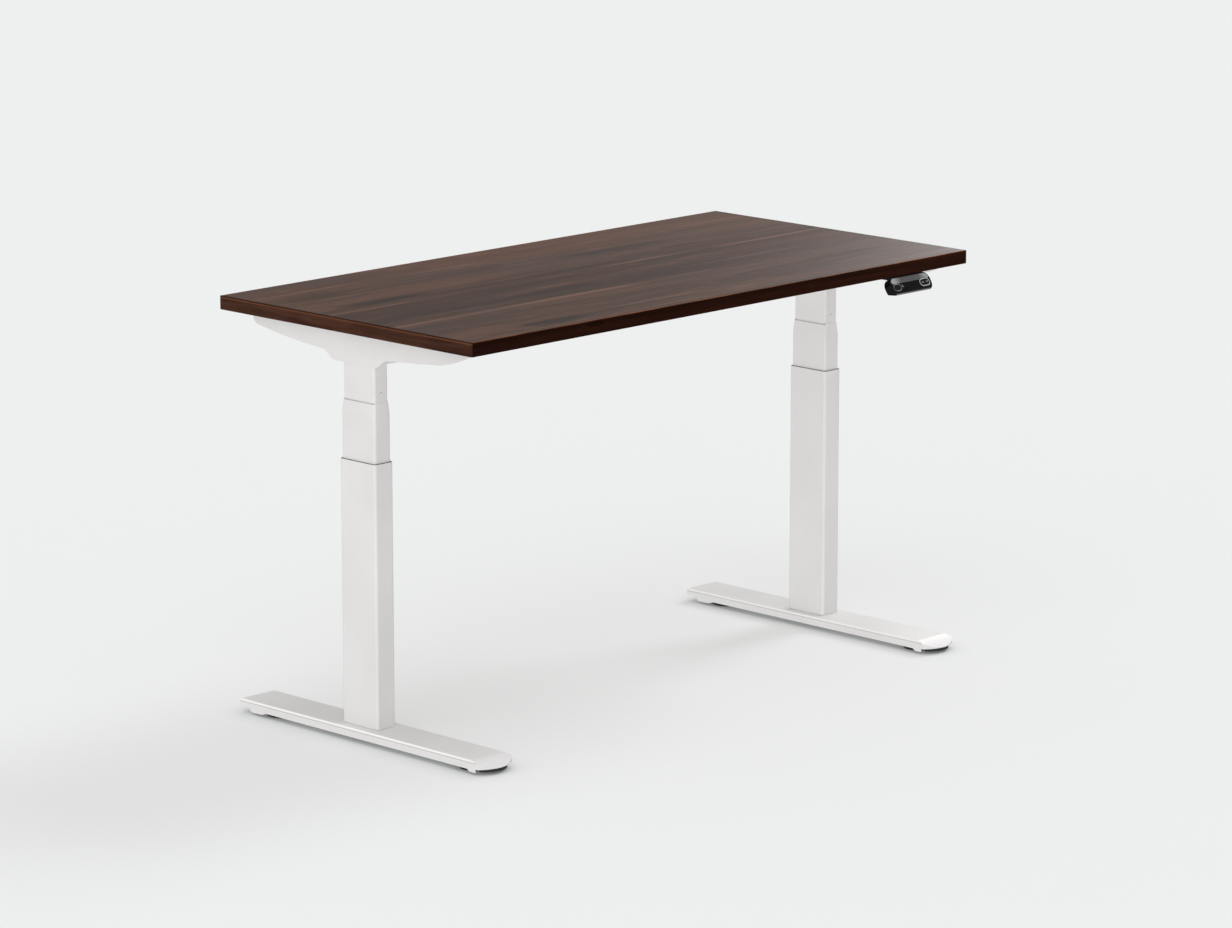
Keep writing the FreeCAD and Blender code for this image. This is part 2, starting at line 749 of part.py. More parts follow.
# ---- gearboxes and motors ----
def gearbox():
    """Gear case on the inner tube's top, with a bearing for the spindle."""
    length = gearbox_outer_x - gearbox_inner_x
    centre_x = (gearbox_outer_x + gearbox_inner_x) / 2
    depth = 2 * gearbox_half_depth
    cap_z = gearbox_top_z - gearbox_cap
    case = rounded_block(centre_x, column_y, length, depth, gearbox_corner, inner_top_z, cap_z)
    cap = rounded_block(centre_x, column_y, length - 2 * gearbox_cap_inset,
                        depth - 2 * gearbox_cap_inset, gearbox_corner - 1, cap_z, gearbox_top_z)
    bearing = post(spindle_journal_radius + running_gap, column_x, column_y,
                   inner_top_z - 1, spindle_journal_top_z + end_play)
    case = case.fuse(cap).cut(bearing)
    for sx in (-1, 1):
        for sy in (-1, 1):
            x = centre_x + sx * (length / 2 - gearbox_screw_inset)
            y = column_y + sy * (gearbox_half_depth - gearbox_screw_inset)
            case = case.cut(post(gearbox_screw_radius, x, y,
                                 gearbox_top_z - gearbox_screw_depth, gearbox_top_z))
    return case


def motor():
    """Motor can against the gear case, with an end bell and a cable boss."""
    def at(x):
        return V(x, column_y, motor_z)
    can = rod(motor_radius - motor_can_step, at(motor_end_x), at(gearbox_inner_x))
    flange = rod(motor_radius, at(gearbox_inner_x - motor_flange), at(gearbox_inner_x))
    bell = rod(motor_radius, at(motor_end_x), at(motor_end_x + motor_bell))
    boss = rod(motor_boss_radius, at(motor_boss_end_x), at(motor_end_x))
    return can.fuse([flange, bell, boss])


# ---- control box ----
def control_box_shell():
    """Lower shell of the control box, open at the top and cut for the mains inlet."""
    shell = rounded_block(0, column_y, 2 * box_half_length, 2 * box_half_depth, box_corner,
                          box_bottom_z, box_lid_z)
    hollow = rounded_block(0, column_y, 2 * (box_half_length - box_wall),
                           2 * (box_half_depth - box_wall), box_corner - box_wall,
                           box_bottom_z + box_wall, box_lid_z + 1)
    opening = box(box_half_length - box_wall - 1, box_half_length + 1,
                  inlet_y - inlet_width / 2, inlet_y + inlet_width / 2,
                  inlet_z - inlet_height / 2, inlet_z + inlet_height / 2)
    shell = shell.cut(hollow).cut(opening)
    for k in range(vent_count):
        x = (k - (vent_count - 1) / 2) * vent_pitch
        slot = box(x - vent_width / 2, x + vent_width / 2,
                   column_y - vent_half_length, column_y + vent_half_length,
                   box_bottom_z - 1, box_bottom_z + box_wall + 1)
        shell = shell.cut(slot)
    return shell


def control_box_lid():
    """Lid of the control box, with a screw ear at each corner."""
    lid = rounded_block(0, column_y, 2 * box_half_length, 2 * box_half_depth, box_corner,
                        box_lid_z, desk_under_z)
    for sx in (-1, 1):
        for sy in (-1, 1):
            x = sx * (box_half_length + (box_ear - box_ear_overlap) / 2)
            y = column_y + sy * (box_half_depth - box_ear_half)
            ear = rounded_block(x, y, box_ear + box_ear_overlap, 2 * box_ear_half, box_ear_corner,
                                box_lid_z, desk_under_z)
            lid = lid.fuse(ear)
    for x, y, z in screw_places():
        if z == box_lid_z:
            lid = lid.cut(post(screw_radius + screw_hole_gap, x, y, box_lid_z - 1, desk_under_z + 1))
    return lid


def inlet_block(x0, x1, grow):
    """Block of the inlet's section, grown or shrunk all round."""
    half_w, half_h = inlet_width / 2 + grow, inlet_height / 2 + grow
    return box(x0, x1, inlet_y - half_w, inlet_y + half_w, inlet_z - half_h, inlet_z + half_h)


def mains_inlet():
    """Recessed appliance inlet with three flat pins."""
    face_x = box_half_length + inlet_rim
    floor_x = face_x - inlet_depth
    body = inlet_block(floor_x - 2, face_x, 0)
    rim = inlet_block(box_half_length, face_x, inlet_rim_width)
    inlet = body.fuse(rim).cut(inlet_block(floor_x, face_x + 1, -inlet_wall))
    for dy, dz in inlet_pin_places:
        y, z = inlet_y + dy, inlet_z + dz
        pin = box(floor_x - 1, face_x - inlet_pin_setback,
                  y - inlet_pin_width / 2, y + inlet_pin_width / 2,
                  z - inlet_pin_height / 2, z + inlet_pin_height / 2)
        inlet = inlet.fuse(pin)
    return inlet


# ---- handset ----
def to_face(shape):
    """Move a shape drawn flat, with X right, Y up the face and Z outward, onto the tilted face."""
    placed = shape.copy()
    placed.rotate(ORIGIN, X_AXIS, 90 - face_tilt_deg)
    placed.translate(face_origin)
    return placed


def face_block(centre, size, low, high, grow=0.0):
    """Rounded block standing on the face, from depth low to height high."""
    width, height, corner = size
    block = rounded_block(centre[0], centre[1], width + 2 * grow, height + 2 * grow,
                          corner + grow - 0.01, low, high)
    return to_face(block)


def face_outline_block(low, high, grow):
    """Block of the face's outline, grown or shrunk all round."""
    centre = (face_centre_x, face_top - handset_height / 2)
    return face_block(centre, (handset_width, handset_height, handset_corner), low, high, grow)


def behind_face():
    """All of the space behind the face's plane, over a rounded lip and a level underside."""
    tilt = math.radians(face_tilt_deg)
    def on_face(height):
        return (face_origin.y + height * math.sin(tilt), face_origin.z + height * math.cos(tilt))
    radius = handset_lip_radius
    half_angle = (math.pi / 2 - tilt) / 2
    reach = radius / math.tan(half_angle)
    low = face_top - handset_height
    tip = on_face(low)
    lip_back = (tip[0] + reach, tip[1])
    lip_nose = (lip_back[0] - radius * math.cos(half_angle),
                lip_back[1] + radius * (1 - math.sin(half_angle)))
    top = on_face(handset_height)
    back_y = handset_rear_y
    return plate_from_edges([
        yz_line(top, on_face(low + reach)),
        yz_arc(on_face(low + reach), lip_nose, lip_back),
        yz_line(lip_back, (back_y, tip[1])),
        yz_line((back_y, tip[1]), (back_y, top[1])),
        yz_line((back_y, top[1]), top),
    ], handset_x - handset_width, handset_x + handset_width)


def handset_screw_places():
    """The two screws that hold the handset's rear body to the board."""
    centre_x = handset_x + face_centre_x
    reach = handset_rear_half - handset_screw_inset
    return [(centre_x + sx * reach, handset_rear_y - handset_screw_setback) for sx in (-1, 1)]


def handset_housing():
    """Moulded housing: a tilted face block and a flat body screwed under the board."""
    face = face_outline_block(-handset_depth, 0.0, 0.0).common(behind_face())
    centre_x = handset_x + face_centre_x
    rear = box(centre_x - handset_rear_half, centre_x + handset_rear_half,
               handset_rear_front_y, handset_rear_y, handset_rear_bottom_z, desk_under_z)
    back_corners = [e for e in rear.Edges
                    if e.BoundBox.ZLength > 1 and e.BoundBox.YMin > handset_rear_front_y + 1]
    body = face.fuse(rear.makeFillet(handset_rear_corner, back_corners))
    body = body.cut(handset_strip())
    body = body.cut(face_block(display_centre, display_size, -display_depth, 1.0))
    body = body.cut(face_block(memory_centre, memory_size, -button_pocket, 1.0, button_gap))
    body = body.cut(face_block(rocker_centre, rocker_size, -button_pocket, 1.0))
    for x, y in handset_screw_places():
        body = body.cut(post(screw_radius + screw_hole_gap, x, y,
                             handset_rear_bottom_z - 1, desk_under_z + 1))
    return body


def handset_ring():
    """Bright rim round the up and down buttons."""
    outer = face_block(rocker_centre, rocker_size, -button_pocket, 0.4)
    inner = face_block(rocker_centre, rocker_size, -button_pocket - 1, 1.0, -ring_width)
    return outer.cut(inner)


def handset_strip():
    """Brushed trim along the top of the face, notched round the rim."""
    strip = face_block(strip_centre, strip_size, -strip_depth, 0.2)
    strip = strip.common(face_outline_block(-strip_depth - 1, 1.0, -strip_margin))
    return strip.cut(face_block(rocker_centre, rocker_size, -2.0, 1.0, strip_notch))


def rocker_button(sign):
    """Left (-1) or right (1) half of the oval inside the rim."""
    whole = face_block(rocker_centre, rocker_size, -button_depth, button_proud,
                       -ring_width - button_gap)
    x0, x1 = sorted((rocker_centre[0] + sign * rocker_split / 2, rocker_centre[0] + sign * 20))
    half = to_face(box(x0, x1, rocker_centre[1] - 20, rocker_centre[1] + 20, -20, 20))
    return whole.common(half)


# ---- cables and clips ----
def cable(name, points, diameter):
    """Round cable along straight runs joined by tangent arcs."""
    edges = []
    start = points[0]
    for before, corner, after in zip(points, points[1:], points[2:]):
        into, out = corner - before, after - corner
        turn = into.getAngle(out)
        trim = 0.45 * min(into.Length, out.Length)
        a = corner - into * (trim / into.Length)
        b = corner + out * (trim / out.Length)
        radius = trim / math.tan(turn / 2)
        print(f"{name}: arc radius {radius:.0f} mm")
        inward = (a + b) * 0.5 - corner
        sagitta = inward.Length - radius * (1 / math.cos(turn / 2) - 1)
        middle = (a + b) * 0.5 - inward * (sagitta / inward.Length)
        edges.append(Part.makeLine(start, a))
        edges.append(Part.Arc(a, middle, b).toShape())
        start = b
    edges.append(Part.makeLine(start, points[-1]))
    path = Part.Wire(edges)
    ring = Part.Wire([Part.makeCircle(diameter / 2, points[0], points[1] - points[0])])
    tube = path.makePipeShell([ring], True, False)
    expected = path.Length * math.pi * diameter ** 2 / 4
    print(f"{name}: length {path.Length:.0f} mm, volume ratio {tube.Volume / expected:.4f}")
    return tube


def handset_cable_points():
    """From the handset's rear, over the front rail, to the control box."""
    return [
        V(handset_x, handset_rear_y, cable_z - 1),
        V(handset_x, handset_rear_y + 40, cable_z - 1),
        V(handset_x - 12, handset_rear_y + 88, cable_z),
        V(handset_x - 45, handset_rear_y + 130, cable_z),
        V(handset_x - 92, handset_rear_y + 162, cable_z),
        V(handset_x - 142, handset_rear_y + 190, cable_z - 0.5),
        V(handset_x - 196, handset_rear_y + 210, cable_z - 2.5),
        V(handset_x - 256, handset_rear_y + 216, cable_z - 5),
        V(box_half_length + 25, column_y - 24, cable_z - 8),
        V(box_half_length, column_y - 24, cable_z - 8),
    ]


def motor_cable_points(sx, end_y):
    """From a motor's boss, up under the board, to its end of the control box."""
    return [
        V(sx * motor_boss_end_x, column_y, motor_z),
        V(sx * (motor_boss_end_x - 30), column_y, motor_z),
        V(sx * (motor_boss_end_x - 72), column_y + (end_y - column_y) * 0.5, motor_z + 13),
        V(sx * (motor_boss_end_x - 122), end_y - 1, cable_z - 2),
        V(sx * (motor_boss_end_x - 178), end_y, cable_z - 0.5),
        V(sx * (motor_boss_end_x - 232), end_y + 0.5, cable_z - 2.5),
        V(sx * (box_half_length + 32), end_y, cable_z - 9),
        V(sx * box_half_length, end_y, cable_z - 9),
    ]


def clip_places():
    """Clips as x, y, the cable's radius, and the axis that the cable runs along there."""
    motor_clip_x = motor_boss_end_x - 178
    hand_r, motor_r = handset_cable_diameter / 2, motor_cable_diameter / 2
    return [
        (handset_x, handset_rear_y + 18, hand_r, "y"),
        (handset_x - 226, handset_rear_y + 213, hand_r, "x"),
        (-motor_clip_x, column_y, motor_r, "x"),
        (motor_clip_x, column_y + 26, motor_r, "x"),
    ]


def clip_tab_offset(direction):
    """From a clip's cable to its screw."""
    reach = clip_tab
    return (reach, 0) if direction == "y" else (0, -reach)


def cable_clip(x, y, radius, direction):
    """Moulded saddle under the board, with a tab for one screw."""
    dx, dy = clip_tab_offset(direction)
    half = clip_width / 2
    bottom_z = cable_z - clip_drop - radius
    hook = box(x - half, x + half, y - half, y + half, bottom_z, desk_under_z)
    x0, x1 = sorted((x, x + dx))
    y0, y1 = sorted((y, y + dy))
    tab = box(x0 - half, x1 + half, y0 - half, y1 + half, desk_under_z - clip_wall, desk_under_z)
    clip = hook.fuse(tab)
    clip = clip.cut(post(screw_radius + screw_hole_gap, x + dx, y + dy, desk_under_z - 10, desk_under_z + 1))
    return clip


# ---- every node ----
def write_column(side):
    """All pieces of one leg, whose middle stage stands a little higher or lower than nominal."""
    shift = middle_shift[side]
    def put(name, shape):
        save(f"{side}_{name}", on_side(shape, side))
    def put_shifted(name, shape):
        shape.translate(V(0, 0, shift))
        put(name, shape)
    put("foot", foot())
    put("foot_nose_cap", nose_cap())
    put("base_plate", base_plate())
    put("outer_tube", outer_tube())
    put("outer_bush", bush(0, outer_top_z, lip_height))
    put("fixed_screw", fixed_screw())
    put_shifted("middle_tube", middle_tube())
    put_shifted("middle_bush", bush(1, middle_top_z - neck_height, 0.0))
    put_shifted("nut_carrier", nut_carrier())
    put_shifted("spindle_nut", spindle_nut())
    put_shifted("drive_tube", drive_tube())
    put("inner_tube", inner_tube(peg_hole_z + shift))
    put("upper_spindle", upper_spindle())
    put("gearbox", gearbox())
    put("motor", motor())
    put("motor_housing", motor_housing())
    put("side_bracket", side_bracket())
    for end, y in zip(("front", "back"), glide_y):
        put(f"{end}_levelling_glide", levelling_glide(y))


def write_shared_fasteners():
    """Pads and bolts that repeat on both legs."""
    pads = [on_side(nose_pad(), side) for side in ("left", "right")]
    bolts = [on_side(bolt, side) for side in ("left", "right") for bolt in foot_bolts()]
    rail_bolts = [rail_bolt(sx * x, sy) for sx in (-1, 1) for x, sy in rail_bolt_places()]
    save("foot_nose_pads", *pads)
    save("foot_bolts", *bolts)
    save("rail_bolts", *rail_bolts)
    save("desktop_screws", *desktop_screws())


def write_desktop():
    """Board, bands, rails and the electrical pieces under them."""
    save("desktop_panel", desktop_panel())
    save("desktop_edge_banding", edge_banding())
    save("front_rail", rail(-1))
    save("back_rail", rail(1))
    save("control_box_shell", control_box_shell())
    save("control_box_lid", control_box_lid())
    save("mains_inlet", mains_inlet())


def write_handset():
    """Housing, trim, display and buttons of the handset."""
    save("handset_housing", handset_housing())
    save("handset_strip", handset_strip())
    save("handset_display", face_block(display_centre, display_size, -display_depth, 0.1))
    save("handset_ring", handset_ring())
    save("handset_up_button", rocker_button(-1))
    save("handset_down_button", rocker_button(1))
    save("handset_memory_button",
         face_block(memory_centre, memory_size, -button_depth, button_proud))


def write_cables():
    """The three cables between the housings, and their clips."""
    hand = cable("handset_cable", handset_cable_points(), handset_cable_diameter)
    left = cable("left_motor_cable", motor_cable_points(-1, column_y), motor_cable_diameter)
    right = cable("right_motor_cable", motor_cable_points(1, column_y + 26), motor_cable_diameter)
    save("handset_cable", hand)
    save("left_motor_cable", left)
    save("right_motor_cable", right)
    clips = [cable_clip(*place).cut([hand, left, right]) for place in clip_places()]
    save("cable_clips", *clips)


os.makedirs("parts", exist_ok=True)
for side_name in ("left", "right"):
    write_column(side_name)
write_shared_fasteners()
write_desktop()
write_handset()
write_cables()
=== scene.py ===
import json
import math

import bmesh
import bpy
import numpy as np
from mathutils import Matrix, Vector


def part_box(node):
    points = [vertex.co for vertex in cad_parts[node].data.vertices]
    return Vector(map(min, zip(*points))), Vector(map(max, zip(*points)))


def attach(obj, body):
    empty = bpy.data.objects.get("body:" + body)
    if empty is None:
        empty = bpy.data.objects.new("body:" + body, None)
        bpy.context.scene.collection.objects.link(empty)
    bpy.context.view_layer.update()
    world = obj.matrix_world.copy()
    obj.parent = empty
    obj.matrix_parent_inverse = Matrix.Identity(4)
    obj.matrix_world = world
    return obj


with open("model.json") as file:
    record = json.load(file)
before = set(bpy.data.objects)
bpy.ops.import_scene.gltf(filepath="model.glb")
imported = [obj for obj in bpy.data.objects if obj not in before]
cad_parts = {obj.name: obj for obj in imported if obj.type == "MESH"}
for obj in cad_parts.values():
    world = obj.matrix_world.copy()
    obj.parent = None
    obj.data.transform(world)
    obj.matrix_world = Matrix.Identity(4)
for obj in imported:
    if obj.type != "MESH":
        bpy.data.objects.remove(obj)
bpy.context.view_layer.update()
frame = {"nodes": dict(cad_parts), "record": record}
nodes = frame["nodes"]

# Lengths are in metres. Object coordinates in a material are the row frame at rest, so that a
# pattern keeps its place on its piece when the piece moves.

# ---- camera ----
CAMERA_PLACE = (-6.1287, -6.0056, 2.2528)
CAMERA_PITCH = math.radians(77.731)
CAMERA_HEADING = math.radians(-45.698)
CAMERA_LENS = 147.33
CAMERA_FILM = 36.0
CAMERA_CLIP_END = 1000.0

# ---- floor and light ----
FLOOR_REACH = 120.0
FLOOR_DROP = 0.0002           # so that no pad shares the floor's plane
FLOOR_COLOUR = (0.458, 0.476, 0.488)
FLOOR_GLOW = (0.373, 0.364, 0.349)
CONTACT_REACH = 0.05
BACKDROP_COLOUR = (0.851, 0.858, 0.854)
SKY_LEVEL = 0.60
KEY_TURN = math.radians(88.0)
KEY_TILT = math.radians(50.0)
KEY_STRENGTH = 1.12
KEY_SPREAD = math.radians(24.0)
FILL_FROM = (-1.18, -0.67, 1.0)
FILL_STRENGTH = 1.85
FILL_SPREAD = math.radians(60.0)
CARD_PLACE = (4.3, 1.5, 1.5)
CARD_AIM = (0.3, 0.0, 0.725)
CARD_SIZE = (1.6, 1.2)
CARD_POWER = 205.0

# ---- handset face: its origin, and its tilt from upright ----
FACE_ORIGIN = Vector((0.450, -0.295, 0.6995))
FACE_TURN = math.radians(57.7)

MM = 0.001
QUARTER_TURN = math.radians(90.0)


# ---- short calls for the nodes of a material ----
class Material:
    """A node material that is built up by short calls."""

    def __init__(self, name):
        self.material = bpy.data.materials.new(name)
        self.material.use_nodes = True
        self.tree = self.material.node_tree
        self.shader = self.tree.nodes["Principled BSDF"]
        self.place = self.new("ShaderNodeTexCoord").outputs["Object"]

    def new(self, kind, **settings):
        node = self.tree.nodes.new(kind)
        for key, value in settings.items():
            setattr(node, key, value)
        return node

    def feed(self, socket, value):
        """Link an output into a socket, or set the socket's own value."""
        if isinstance(value, bpy.types.NodeSocket):
            self.tree.links.new(value, socket)
        else:
            socket.default_value = value

    def set(self, **values):
        """Set or link the shader's sockets, with _ for a space in their names."""
        for key, value in values.items():
            self.feed(self.shader.inputs[key.replace("_", " ")], value)

    def math(self, operation, a, b=0.0):
        """Output of one Math node."""
        node = self.new("ShaderNodeMath", operation=operation)
        for socket, value in zip(node.inputs, (a, b)):
            self.feed(socket, value)
        return node.outputs[0]

    def plus(self, a, b):
        return self.math("ADD", a, b)

    def minus(self, a, b):
        return self.math("SUBTRACT", a, b)

    def times(self, a, b):
        return self.math("MULTIPLY", a, b)

    def total(self, first, *rest):
        """Sum of several outputs."""
        for value in rest:
            first = self.plus(first, value)
        return first

    def swing(self, base, field, reach):
        """base, raised by reach where a field of 0 to 1 is at 1."""
        return self.plus(base, self.times(field, reach))

    def axes(self, vector=None):
        """X, Y and Z of a vector, or of the place in the row frame."""
        node = self.new("ShaderNodeSeparateXYZ")
        self.feed(node.inputs[0], vector or self.place)
        return node.outputs

    def vector(self, x, y, z):
        node = self.new("ShaderNodeCombineXYZ")
        for socket, value in zip(node.inputs, (x, y, z)):
            self.feed(socket, value)
        return node.outputs[0]

    def facing(self):
        """X, Y and Z of the surface's normal."""
        return self.axes(self.new("ShaderNodeNewGeometry").outputs["Normal"])

    def stretch(self, scale):
        """Place in the row frame, scaled by axis, for a noise that is drawn out."""
        node = self.new("ShaderNodeVectorMath", operation="MULTIPLY")
        self.feed(node.inputs[0], self.place)
        node.inputs[1].default_value = scale
        return node.outputs[0]

    def noise(self, vector, scale=1.0, detail=2.0, roughness=0.5, distortion=0.0):
        node = self.new("ShaderNodeTexNoise")
        self.feed(node.inputs["Vector"], vector)
        node.inputs["Scale"].default_value = scale
        node.inputs["Detail"].default_value = detail
        node.inputs["Roughness"].default_value = roughness
        node.inputs["Distortion"].default_value = distortion
        return node.outputs["Fac"]

    def span(self, value, low, high, to_low=0.0, to_high=1.0, smooth=True):
        """Map low..high to to_low..to_high, held at both ends."""
        node = self.new("ShaderNodeMapRange")
        node.interpolation_type = "SMOOTHSTEP" if smooth else "LINEAR"
        for socket, item in zip(node.inputs, (value, low, high, to_low, to_high)):
            self.feed(socket, item)
        return node.outputs[0]

    def ridge(self, value, centre, half_width):
        """1 where value is at centre, falling to 0 at half_width away."""
        off = self.math("ABSOLUTE", self.minus(value, centre))
        return self.span(off, half_width, 0.0)

    def mix(self, share, a, b):
        """Colour from a to b as share goes from 0 to 1."""
        node = self.new("ShaderNodeMix", data_type="RGBA")
        self.feed(node.inputs["Factor"], share)
        first, second = [socket for socket in node.inputs if socket.type == "RGBA"]
        for socket, value in ((first, a), (second, b)):
            self.feed(socket, value if isinstance(value, bpy.types.NodeSocket) else (*value, 1.0))
        return next(socket for socket in node.outputs if socket.type == "RGBA")

    def tint(self, colour, field, strength, tone):
        """Colour turned towards tone by strength where a field of 0 to 1 is at 1."""
        return self.mix(self.times(field, strength), colour, tone)

    def ramp(self, value, *stops):
        node = self.new("ShaderNodeValToRGB")
        elements = node.color_ramp.elements
        while len(elements) < len(stops):
            elements.new(0.5)
        for element, (position, colour) in zip(elements, stops):
            element.position = position
            element.color = (*colour, 1.0)
        self.feed(node.inputs[0], value)
        return node.outputs[0]

    def bump(self, height, depth, strength):
        """Relief of a height from 0 to 1 that is depth metres deep."""
        node = self.new("ShaderNodeBump")
        node.inputs["Strength"].default_value = strength
        node.inputs["Distance"].default_value = depth
        self.feed(node.inputs["Height"], height)
        self.set(Normal=node.outputs[0])


# ---- wood ----
BOARD_LOW, BOARD_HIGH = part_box("desktop_edge_banding")
BOARD_Y = (BOARD_LOW.y + BOARD_HIGH.y) / 2
BAND = 0.0012                 # thickness of the edge band
SKIN = 0.0014                 # depth in which a point belongs to a side face
PLANK = 0.174                 # width of a plank
PLANK_START = 0.238           # a joint between two planks, from the centre line

# Layers of grain: noise scale along and across the planks, detail, roughness, distortion.
FIGURE = (1.3, 22.0, 3.0, 0.55, 0.6)
STREAK = (3.4, 150.0, 4.0, 0.68, 0.25)
FIBRE = (16.0, 620.0, 2.0, 0.6)
PORES = (42.0, 1150.0, 1.0, 0.5)
FIGURE_SHARE, STREAK_SHARE, FIBRE_SHARE, TONE_SHARE = 0.50, 0.62, 0.22, 0.14
LEVEL_SPAN = (0.52, 1.00)     # levels of the summed layers that are darkest and reddest
COLOUR_STOPS = (0.0, 0.38, 0.74, 1.0)
PORE_SPAN = (0.60, 0.72)
PORE_DARKNESS = 0.55
PORE_RELIEF, FIBRE_RELIEF = 0.8, 0.4
SWAY = 0.050                  # how far the grain bends across its plank
SWAY_WAVES = (1.6, 3.0)       # bends a metre, along and across
PLANK_SEED = 3.0
PLANK_SHIFT = 3.7             # how far one plank's grain is moved along against another's

# Pale reddish seams along the boards: distance from the centre line, half width, the ends of the
# seam along X, and its strength.
STREAKS = (
    (0.231, 0.0060, -0.70, -0.34, 0.60),
    (0.221, 0.0044, -0.28, -0.03, 1.00),
    (0.230, 0.0050, 0.38, 0.70, 1.00),
    (0.036, 0.0040, -0.72, -0.38, 1.00),
    (0.036, 0.0042, 0.00, 0.27, 1.00),
    (0.037, 0.0052, 0.30, 0.72, 1.00),
    (-0.119, 0.0052, -0.72, -0.04, 0.80),
    (-0.122, 0.0120, -0.72, 0.02, 0.35),
    (-0.117, 0.0036, -0.02, 0.20, 0.70),
    (-0.289, 0.0036, -0.60, 0.60, 0.75),
    (-0.246, 0.0034, -0.25, 0.00, 0.75),
    (-0.244, 0.0034, 0.24, 0.50, 0.55),
    (0.097, 0.0030, -0.36, -0.14, 0.65),
    (0.100, 0.0030, 0.06, 0.24, 0.65),
    (-0.066, 0.0028, 0.10, 0.48, 0.60),
    (0.150, 0.0030, -0.60, -0.28, 0.45),
    (0.196, 0.0026, -0.50, -0.16, 0.45),
)

# Smoky patches: centre, half length, half width, strength.
PATCHES = (
    (-0.38, -0.262, 0.085, 0.020, 0.85),
    (-0.46, 0.074, 0.110, 0.018, 0.75),
    (-0.44, -0.045, 0.180, 0.040, 0.35),
    (-0.17, -0.060, 0.120, 0.018, 0.60),
    (0.18, 0.150, 0.130, 0.020, 0.50),
    (0.10, -0.060, 0.160, 0.030, 0.35),
    (0.30, 0.095, 0.070, 0.007, 0.65),
    (0.19, -0.236, 0.060, 0.006, 0.65),
    (0.42, -0.170, 0.110, 0.016, 0.40),
    (-0.50, 0.190, 0.120, 0.030, 0.40),
)

WOOD_DARK = (0.0125, 0.0062, 0.0045)
WOOD_BODY = (0.0510, 0.0228, 0.0142)
WOOD_PALE = (0.0980, 0.0455, 0.0280)
WOOD_RED = (0.1350, 0.0600, 0.0360)
WOOD_SEAM = (0.1850, 0.0900, 0.0580)
WOOD_GREY = (0.0300, 0.0270, 0.0290)
RIM_LINE = (0.0200, 0.0065, 0.0040)
ARRIS_COLOUR = (0.2300, 0.0820, 0.0370)

# Colours of the grain, from dark to red.
TOP_PALETTE = (WOOD_DARK, WOOD_BODY, WOOD_PALE, WOOD_RED)
FRONT_PALETTE = ((0.0070, 0.0021, 0.0012), (0.0165, 0.0046, 0.0026), (0.0290, 0.0080, 0.0044),
                 (0.0450, 0.0130, 0.0070))
END_PALETTE = ((0.0240, 0.0085, 0.0050), (0.0540, 0.0225, 0.0145), (0.0760, 0.0330, 0.0210),
               (0.0950, 0.0400, 0.0250))


class Grain:
    """Fields of planks that run one way and lie side by side the other."""

    def __init__(self, m, along, across):
        slow = m.noise(m.vector(m.times(along, SWAY_WAVES[0]), m.times(across, SWAY_WAVES[1]), 0.0))
        bent = m.plus(across, m.times(m.minus(slow, 0.5), SWAY))

        plank = m.math("FLOOR", m.math("DIVIDE", m.minus(across, PLANK_START), PLANK))
        tone = m.new("ShaderNodeTexWhiteNoise", noise_dimensions="1D")
        m.feed(tone.inputs["W"], m.plus(plank, PLANK_SEED))
        tone = tone.outputs["Value"]
        shifted = m.swing(along, tone, PLANK_SHIFT)

        def layer(along_scale, across_scale, *settings):
            place = m.vector(m.times(shifted, along_scale), m.times(bent, across_scale), tone)
            return m.noise(place, 1.0, *settings)

        figure = layer(*FIGURE)
        self.streak = layer(*STREAK)
        fibre = layer(*FIBRE)
        self.level = m.total(m.times(figure, FIGURE_SHARE), m.times(self.streak, STREAK_SHARE),
                             m.times(fibre, FIBRE_SHARE), m.times(tone, TONE_SHARE))
        self.pore = m.span(layer(*PORES), *PORE_SPAN)
        self.relief = m.minus(m.times(fibre, FIBRE_RELIEF), m.times(self.pore, PORE_RELIEF))

    def colour(self, m, palette):
        """Grain in four colours, from dark to red."""
        blend = m.ramp(m.span(self.level, *LEVEL_SPAN, smooth=False), *zip(COLOUR_STOPS, palette))
        return m.tint(blend, self.pore, PORE_DARKNESS, palette[0])


SEAM_WAVES = 3.2              # bends a metre of the pale seams
SEAM_SLICE = 4.0              # slice of the noise that bends them
SEAM_WANDER = 0.016           # how far the noise can move them
SEAM_TAPER = 0.09             # length over which a seam fades at each end
SEAM_BREAKS = (0.20, 0.50, 0.35, 1.0)        # streak level: weakest, whole; strength at each

# Red blush, warm and grey areas, and smoky patches: noise scale by axis, the levels between which
# they fade in, and strength.
BLUSH_SCALE, BLUSH_SPAN = (9.0, 60.0, 1.0), (0.52, 0.72)
BLUSH_REGION_SCALE, BLUSH_REGION_SPAN = (2.4, 5.0, 1.0), (0.44, 0.60)
BLUSH_STRENGTH = 0.75
BACK_WARMTH = (0.15, 0.27, 0.0, 0.26)        # across the board: from, to, share at each
RIGHT_WARMTH = (-0.10, 0.35, 0.0, 0.09)      # along the board
PATCH_SCALE, PATCH_RAGGEDNESS, PATCH_SPAN = (7.0, 46.0, 1.0), 2.2, (1.3, 0.1)
GREY_SCALE, GREY_SPAN, GREY_STRENGTH = (2.2, 9.0, 1.0), (0.50, 0.72), 0.30

# Lines on the top, just inside its edge band: width and share. RIM_CORE of the width is whole.
END_RIM_WIDTH, END_RIM_SHARE = 0.0050, 0.80
RIM_WIDTH, RIM_SHARE = 0.0022, 0.65
RIM_CORE = 0.4

TOP_ROUGHNESS, EDGE_ROUGHNESS, WOOD_ROUGHNESS_SWING = 0.40, 0.42, 0.14
TOP_SPECULAR, EDGE_SPECULAR = 0.068, 0.01
TOP_RELIEF, EDGE_RELIEF = (0.00012, 0.6), (0.00010, 0.5)


